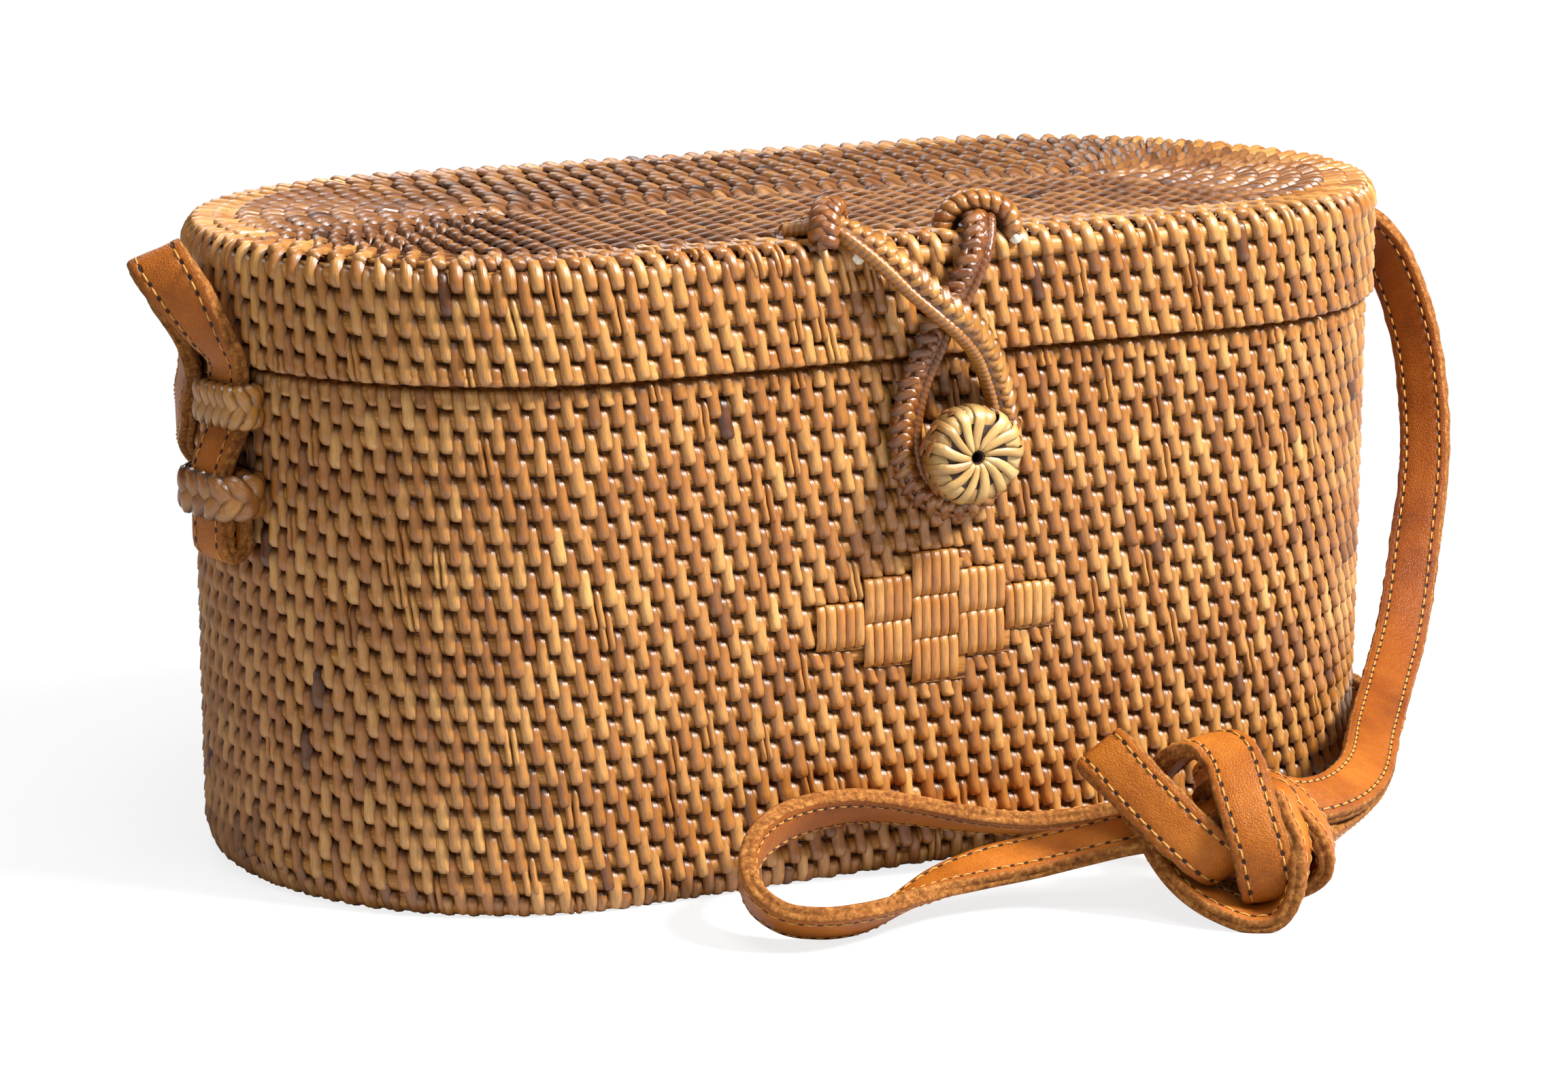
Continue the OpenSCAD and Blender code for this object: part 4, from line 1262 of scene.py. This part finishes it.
@dataclass
class Weave:
    """The wound stitches of body and lid, outside and in, with the motif on the front."""

    finishes: Finishes

    wall_chain = CoilChain((0, .25, .5, 1, 1.5, WALL_RODS),
                           (63.6, 65.6, 66.76, 67.86, WALL_RADIUS, WALL_RADIUS),
                           (.35, .9, 2.35, 4.7, 7.05, WALL_TOP),
                           (.45, .7, .9, 1, 1, 1), (-.9, -.7, -.42, -.1, 0, 0))
    lid_chain = CoilChain((0, 4.4, 4.8, 5, 5.2, 5.5, 18.5, 19),
                          (LID_RADIUS, LID_RADIUS, 69.5, 69.05, 68.3, 67.1, 2.49, .3),
                          (LID_LOW, 134, 136.3, 137.3, 138, 138.45, 138.45, 138.3),
                          (1, 1, .95, .78, .45, 0, 0, 0), (0, 0, .3, .62, .9, 1, 1, 1))
    foot_chain = CoilChain((0, 13), (61.5, 1.5), (0, 0), (0, 0), (-1, -1))
    rim_chain = CoilChain((0, 2), (67.9, 63.5), (WALL_TOP, WALL_TOP), (0, 0), (1, 1))
    inner_chain = CoilChain((0, WALL_RODS), (63.4, 63.4), (0, WALL_TOP), (-1, -1), (0, 0))
    under_chain = CoilChain((0, 13), (63, 1.5), (133.65, 133.65), (0, 0), (-1, -1))
    hinge_half = 10.5
    block_pitch = 11.5
    block_middle = (-2.4, 12.0)
    block_strip = 2.27
    block_half_strip = 1.15
    block_top = 1.04
    block_span = 2.18

    # Stitches out of sight, and the leaf-shaped ones of the lid's top
    plain = StitchStyle(along=(0, .12, .5, .88, 1), lift=(-.9, .3, .34, .3, -.9), breadth=(.7, 1, 1, 1, .6),
                        across=(-1, 0, 1), droop=(-.6, 0, -.6), split_share=0.0)
    leaf = StitchStyle(lean=4.8, tone=.54, width=3.0, pitch=5.5, shift=.94, spread=.13, dark_share=.03,
                       split_share=.02, lift=(-1.0, -.6, 0, .6, 1.15, 1.6, 1.5, .5, -1.0),
                       breadth=(.2, .45, .75, .95, 1.05, 1.05, .85, .5, .12))

    def blocks(self) -> tuple[tuple[float, float], ...]:
        """Middles of the motif's blocks, as distance from the front's middle and rod count."""
        x, q = self.block_middle
        rows = [(row, 3 - abs(row)) for row in range(-2, 3)]
        return tuple(((2 * k - count + 1) * self.block_pitch + x, q - row)
                     for row, count in rows for k in range(count))

    def block_strips(self, shell: Shell) -> None:
        """Each block: five strips side by side over two rods, swelling toward the middle."""
        middles = np.array(self.blocks())
        rng = np.random.default_rng(31)
        x = (middles[:, :1] + (np.arange(5) - 2) * self.block_strip).ravel()
        q = np.repeat(middles[:, 1], 5)
        count = len(x)
        t = np.array([0, .012, .05, .2, .45, .72, .9, .975, 1])
        lift = np.array([-.4, .7, 1.2, 1.65, 1.8, 1.9, 1.6, .9, -.5])
        breadth = np.array([.85, .95, 1, 1, 1, 1.02, 1.03, .97, .8])
        droop = np.array([-.8, -.2, 0, -.2, -.8])
        half = self.block_half_strip * each(rng.normal(1, .05, count)) * breadth[:, None] * STRIP_ACROSS
        px = each(x) + half + (rng.normal(0, .12, count)[:, None] * (t - .5))[..., None]
        pz = (ROD * (q[:, None] + self.block_top - self.block_span * t))[..., None] + 0 * STRIP_ACROSS
        py = -WALL_RADIUS - (lift[:, None] + droop + each(rng.normal(0, .07, count)))
        shell.add(layered(px, py, pz), strip_uv(half, pz, 5.1), toned(rng, .6, .05, count))

    def clear_hinges(self, lot: Lot, low: float, high: float) -> Lot:
        """Leave out the stitches under the hinge barrels at the back."""
        flat, _ = OVAL.place(lot["s"], lot["ref"], lot["ref"])
        mid = (lot["top"] + lot["low"]) / 2
        near = np.min(np.abs(flat[:, :1] - np.array(HINGES)), 1) < self.hinge_half
        return chosen_from(lot, ~((flat[:, 1] > 0) & near & (mid >= low) & (mid <= high)))

    def build(self) -> None:
        """All stitches, the wall's front and back as two pieces."""
        plain, lid_limit, flat_limit = self.plain, (0.0, 18.9), (0.0, 13.0)
        side_style = StitchStyle(lean=1.7, tone=.63)
        corner_style = replace(side_style, tone=.62, pitch=5.3)
        foot_style = replace(plain, tone=.5, lean=2.4, lift=(-.9, .05, .12, .05, -.9))
        rim_style = replace(plain, pitch=2.9, width=2.95, lean=.5, lift=(-.4, .08, .12, .08, -.4),
                            droop=(-.25, 0, -.25))
        wall = StitchField(self.wall_chain, StitchStyle(), 3, (1, 26), (0.0, WALL_RODS), blocks=self.blocks())
        skirt = StitchField(self.lid_chain, side_style, 4, (1, 6), lid_limit)
        corner = StitchField(self.lid_chain, corner_style, 5, (6, 9), lid_limit)
        top = StitchField(self.lid_chain, self.leaf, 8, (9, 21), lid_limit)
        rim = StitchField(self.rim_chain, rim_style, 18, (2, 3), (0.0, 2.0))
        inner = StitchField(self.inner_chain, replace(plain, tone=.45), 12, (3, 25), (1.6, WALL_RODS), True)
        under_style = replace(plain, tone=.45, lean=2.4)
        under = StitchField(self.under_chain, under_style, 14, (2, 13), flat_limit, True)
        foot = StitchField(self.foot_chain, foot_style, 16, (2, 13), flat_limit, True)
        wall_lot = self.clear_hinges(wall.lay_out(), 22.5, 24)
        front = OVAL.place(wall_lot["s"], wall_lot["ref"], wall_lot["ref"])[0][:, 1] < 0
        skirt_lot = self.clear_hinges(skirt.lay_out(), 0, 1.6)
        strip = self.finishes.strip
        pieces = (
            ("wall_stitches_front", Body.BASKET, strip, [(wall, chosen_from(wall_lot, front))]),
            ("wall_stitches_back", Body.BASKET, strip, [(wall, chosen_from(wall_lot, ~front))]),
            ("lid_skirt_stitches", Body.LID, strip, [(skirt, skirt_lot), (corner, None)]),
            ("lid_top_stitches", Body.LID, self.finishes.top_strip, [(top, None)]),
            ("rim_stitches", Body.BASKET, strip, [(rim, None)]),
            ("inner_wall_stitches", Body.BASKET, strip, [(inner, None)]),
            ("lid_under_stitches", Body.LID, strip, [(under, None)]),
            ("foot_stitches", Body.BASKET, strip, [(foot, None)]),
        )
        for name, body, finish, fields in pieces:
            shell = Shell()
            for stitches, lot in fields:
                stitches.fill(shell, lot)
            if name == "wall_stitches_front":
                self.block_strips(shell)
            dress(shell.object(name, finish), body, Slot.CANE)
        paint("basket_body", self.finishes.wall)
        paint("lid", self.finishes.lid)


# Button and hinges


@dataclass
class Button:
    """The woven button: pale strips from a middle hole over the rim, and a twined side, darker from its own
    darker lobes and from painted shade on the strips there.

    A profile's three rows are distance from the hole's middle, depth behind the front and half width.
    """

    finishes: Finishes
    height: float = 93.1
    front: float = -82.1
    strips: int = 13
    reach_right: float = 1.17
    reach_left: float = 0.97
    side_radius: float = 10.2
    swirl: float = 0.35
    swirl_reach: float = 8.5

    ribbon = np.array([[1.3, 1.6, 2.3, 4, 6, 7.6, 8.8, 9.6, 10.2, 10.6, 10.7, 10.6, 10.2, 9.2, 7.4],
                       [1.2, -.2, -.55, -.7, -.75, -.6, -.2, .4, 1.2, 2.3, 3.6, 5, 6.6, 7.8, 8.3],
                       [.38, .46, .62, .92, 1.05, 1.12, 1.15, 1.2, 1.2, 1.2, 1.2, 1.15, 1.1, 1, .8]])
    under = np.array([[3.2, 3.8, 4.8, 6.2, 7.6, 8.7, 9.4, 9.9, 10.2, 10.4, 10.4, 10.3, 10, 9, 7.2],
                      [1.3, .7, .3, .12, .15, .4, .9, 1.5, 2.3, 3.2, 4.2, 5.3, 6.6, 7.7, 8.2],
                      [.5, .75, 1, 1.2, 1.35, 1.42, 1.45, 1.45, 1.45, 1.45, 1.45, 1.4, 1.35, 1.2, 1]])

    @staticmethod
    def ways(turn: Array) -> tuple[Array, Array]:
        """Directions out from the hole and round it, in the button's upright plane."""
        cos, sin = np.cos(turn), np.sin(turn)
        return np.stack([cos, 0 * turn, sin], -1), np.stack([-sin, 0 * turn, cos], -1)

    def strip_grids(self, rng: np.random.Generator, start: float, profile: Array) -> tuple[Array, Array]:
        """Strips along a turned profile, swirling near the hole, each arched across, longer to the right.

        Args:
            rng: source of the small differences.
            start: turn of the first strip, in strips.
            profile: distances out, depths and half widths.

        Returns:
            The grids and their texture places.
        """
        out, deep, half = profile
        lap = np.array([-.5, -.05, .06, .03, -.35])
        angle = TAU * (start + np.arange(self.strips) + rng.normal(0, .06, self.strips)) / self.strips
        wide = half[:, None] * STRIP_ACROSS * each(rng.normal(1, .06, self.strips))
        lift = each(rng.normal(0, .05, self.strips)) + lap
        steep = np.clip((out - 7.8) / 2.2, 0, 1)[:, None]
        reach = out[:, None] + lift * steep
        depth = deep[:, None] - lift * (1 - steep)
        radial, sideways = self.ways(angle[:, None] + self.swirl * np.clip(1 - out / self.swirl_reach, 0, 1))
        grid = (reach[..., None] * radial[:, :, None] + wide[..., None] * sideways[:, :, None]
                + depth[..., None] * np.array([0, 1.0, 0]))
        grid[..., 0] *= np.where(grid[..., 0] > 0, self.reach_right, self.reach_left)
        uv = strip_uv(wide, 1.1 * out[:, None], 6.1)
        return grid + np.array([0, self.front, self.height]), uv

    def build(self) -> None:
        """Pale ribbons over pale strips on the face, browner down the side by painted shade, where darker
        lobes cross them; painted shade also darkens the under strips near the hole.
        """
        rng = np.random.default_rng(21)
        shell = Shell()
        # Painted shade along the strips' borders, down the side and, on the under strips, near the hole where
        # they tuck in
        border_shade = 0.55 * np.array([1, .2, 0, .2, 1])
        for start, profile, tucked in ((0.0, self.ribbon, 0.0), (0.5, self.under, 0.9)):
            grid, uv = self.strip_grids(rng, start, profile)
            side = np.interp(profile[1], (.5, 2.0, 4.5), (0, .42, .72))
            shade = np.maximum(side, tucked * np.interp(profile[0], (3.2, 6.5), (1, 0)))
            tone = toned(rng, .47, .16, self.strips)
            shell.add(grid, uv, tone, edge=np.maximum(shade[:, None], border_shade))
        for row, sunk in enumerate((2.6, 4.1, 5.6)):
            off, axis = self.ways(TAU * (2 * np.arange(self.strips // 2 + row % 2) + row) / self.strips)
            centre = np.array([0, self.front + sunk, self.height]) + self.side_radius * off
            lobes, lobe_uv = LobeStyle().grids(centre, axis, off, 4.6, 1.7, .6)
            shell.add(lobes, lobe_uv, toned(rng, .4, .1, len(off)), flip=True, slot=1)
        button = shell.object("button_strips", self.finishes.straw, self.finishes.plait)
        # The button's core is painted near black as shade in the hole and between the strips
        paint("button", self.finishes.core)
        paint("button_shank", self.finishes.plait)
        dress(button, Body.BASKET, Slot.STRAW)


@dataclass
class Hinges:
    """Woven strips over the tongue of each hinge leaf."""

    finishes: Finishes
    across: float = 18.0
    tall: float = 13.0
    strips: int = 8
    half_strip: float = 1.14

    # The depth of a tongue's face and the height of its lower end
    on_body = (69.9, 97.2)
    on_lid = (71.5, 116.1)

    def leaf(self, name: str, x: float, face: float, low: float, body: Body) -> None:
        """Strips side by side up one tongue, low arches along and across."""
        rng = np.random.default_rng(int(abs(x)) + int(low))
        number = np.arange(self.strips)
        where = x + (number - (self.strips - 1) / 2) * self.across / self.strips
        t = np.array([0, .04, .12, .3, .5, .7, .88, .96, 1])
        lift = np.array([-.5, .05, .3, .4, .25, .4, .3, .05, -.5])
        droop = np.array([-.4, -.1, 0, -.1, -.4])
        half = self.half_strip * STRIP_ACROSS
        py = face + lift[:, None] + droop + each(rng.normal(0, .04, self.strips))
        pz = low + self.tall * t[:, None]
        shade = np.maximum(np.interp(t, (0, .1, .9, 1), (1, 0, 0, 1))[:, None], .7 * np.abs(STRIP_ACROSS) ** 4)
        tone = toned(rng, .5, .08, self.strips)
        shell = Shell()
        grid, uv = layered(each(where) + half, py, pz), strip_uv(half + 0 * each(number), pz, 3.3)
        shell.add(grid, uv, tone, shade, flip=True)
        dress(shell.object(name, self.finishes.strip), body, Slot.CANE_DARK)

    def build(self) -> None:
        """Both leaves of both hinges; the barrels keep their own shape."""
        for side, x in zip(("left", "right"), HINGES):
            self.leaf("hinge_body_strips_" + side, x, *self.on_body, Body.BASKET)
            self.leaf("hinge_lid_strips_" + side, x, *self.on_lid, Body.LID)
            paint("hinge_body_" + side, self.finishes.barrel)
            paint("hinge_lid_" + side, self.finishes.barrel)


# The studio


@dataclass
class Studio:
    """Camera, floor and lights; its places are in metres."""

    place: Place = (-0.423695, -0.818441, 0.268705)
    right: Place = (0.88988, -0.45618, 0.00263)
    up: Place = (0.09945, 0.19962, 0.97481)
    ahead: Place = (0.44521, 0.86721, -0.22301)
    focal_pixels: float = 6057.805
    floor_half: float = 6.0
    surround: float = 0.14
    aim: Place = (0.0, 0.0, 0.07)
    shadow_near: float = 0.15
    shadow_far: float = 0.30
    shadow_white: float = 0.80
    floor_bounce: Colour = (0.5, 0.5, 0.5)
    floor_seen: Colour = (0.96, 0.96, 0.96)

    lights = (
        ("key", (0.85, -0.85, 1.2), 0.4, 67.0),
        ("overhead", (-0.15, -0.4, 1.5), 0.6, 11.0),
        ("back_top", (0.1, 1.3, 1.0), 0.5, 7.0),
        ("left_fill", (-1.3, -0.9, 0.9), 0.4, 3.5),
    )

    def camera(self) -> None:
        """The photograph's own view."""
        data = bpy.data.cameras.new("camera")
        data.sensor_fit, data.sensor_width = "HORIZONTAL", SENSOR
        data.lens = self.focal_pixels / PHOTO_WIDTH * SENSOR
        data.clip_start, data.clip_end = 0.01, 50.0
        camera = bpy.data.objects.new("camera", data)
        turn = Matrix((self.right, self.up, [-v for v in self.ahead])).transposed().to_4x4()
        camera.matrix_world = Matrix.Translation(self.place) @ turn
        bpy.context.scene.collection.objects.link(camera)
        bpy.context.scene.camera = camera

    def floor(self) -> None:
        """A white floor that keeps the shadow near the bag and is plain white further off."""
        mesh = bpy.data.meshes.new("floor")
        half = self.floor_half
        corners = [(-half, -half, 0), (half, -half, 0), (half, half, 0), (-half, half, 0)]
        mesh.from_pydata(corners, [], [(0, 1, 2, 3)])
        floor = bpy.data.objects.new("floor", mesh)
        bpy.context.scene.collection.objects.link(floor)
        material = bpy.data.materials.new("floor_white")
        material.use_nodes = True
        nodes, sketch = material.node_tree.nodes, Sketch(material.node_tree)
        shader = nodes["Principled BSDF"]
        place = sketch.add("TexCoord").outputs["Object"]
        away = sketch.add("VectorMath", {0: place}, operation="LENGTH").outputs["Value"]
        seen = sketch.add("LightPath").outputs["Is Camera Ray"]
        grey = sketch.mix(seen, self.floor_bounce, self.floor_seen)
        sketch.feed(shader, {"Base Color": grey, "Roughness": 0.9, "Specular IOR Level": 0.0})
        away = sketch.remap(away, self.shadow_near, self.shadow_far, self.shadow_white, 1.0)
        far = sketch.math("MULTIPLY", away, seen)
        white = sketch.add("Emission", {"Color": (1, 1, 1, 1), "Strength": 1.0}).outputs[0]
        both = sketch.add("MixShader", {0: far, 1: shader.outputs[0], 2: white}).outputs[0]
        sketch.feed(nodes["Material Output"], {"Surface": both})
        mesh.materials.append(material)

    def light(self, name: str, place: Place, size: float, power: float) -> None:
        """A square soft light that faces the bag."""
        data = bpy.data.lights.new(name, "AREA")
        data.size, data.energy = size, power
        lamp = bpy.data.objects.new(name, data)
        lamp.location = place
        x, y, z = np.array(self.aim) - np.array(place)
        tilt, turn = math.atan2(z, math.hypot(x, y)), math.atan2(y, x)
        lamp.rotation_euler = (math.pi / 2 + tilt, 0, turn - math.pi / 2)
        bpy.context.scene.collection.objects.link(lamp)

    def build(self) -> None:
        """Floor, lights and a surround that is white to the camera and dim to the bag."""
        self.floor()
        for light in self.lights:
            self.light(*light)
        world = bpy.data.worlds.new("surround")
        world.use_nodes = True
        sketch = Sketch(world.node_tree)
        seen = sketch.add("LightPath").outputs["Is Camera Ray"]
        strength = sketch.remap(seen, 0.0, 1.0, self.surround, 1.0)
        sketch.feed(world.node_tree.nodes["Background"], {"Color": (1, 1, 1, 1), "Strength": strength})
        bpy.context.scene.world = world
        bpy.context.scene.view_settings.view_transform = "Standard"


def main() -> None:
    """Build the bag piece by piece and report each."""
    logging.basicConfig(level=logging.INFO, format="%(name)s: %(message)s")
    studio = Studio()
    studio.camera()
    finishes = Finishes()
    Strap(finishes).build()
    ClosureLoop(finishes).build()
    ArchKnot(finishes, "knot_left_plait", "lid_knot_left", centre=(-26.8, -65.2, 140.4), axis=(0.8, -0.6),
             half_wide=5.4, half_high=4.4, tube=2.9, waves=3.2, tone=0.42,
             pith=(-22.6, -70.6, 135.6), pith_way=(0.5, -0.6, -0.6)).build()
    ArchKnot(finishes, "knot_right_plait", "lid_knot_right", centre=(8.8, -65.2, 139.2), axis=(0.4, 0.9),
             half_wide=6.2, half_high=4.8, tube=3.1, waves=3.6, tone=0.6,
             pith=(15.6, -69.6, 137.2), pith_way=(0.5, -0.7, -0.3)).build()
    for side, name in ((-1, "left"), (1, "right")):
        PlaitRing(finishes, "ring_upper_" + name, side, 4.1, 2.2, low=100.8, waves=5, strand=3.3).build()
        PlaitRing(finishes, "ring_lower_" + name, side, 6.3, 4.4, low=82.2, waves=4, strand=4.4).build()
    Button(finishes).build()
    Hinges(finishes).build()
    Weave(finishes).build()
    studio.build()


if __name__ == "__main__":
    main()
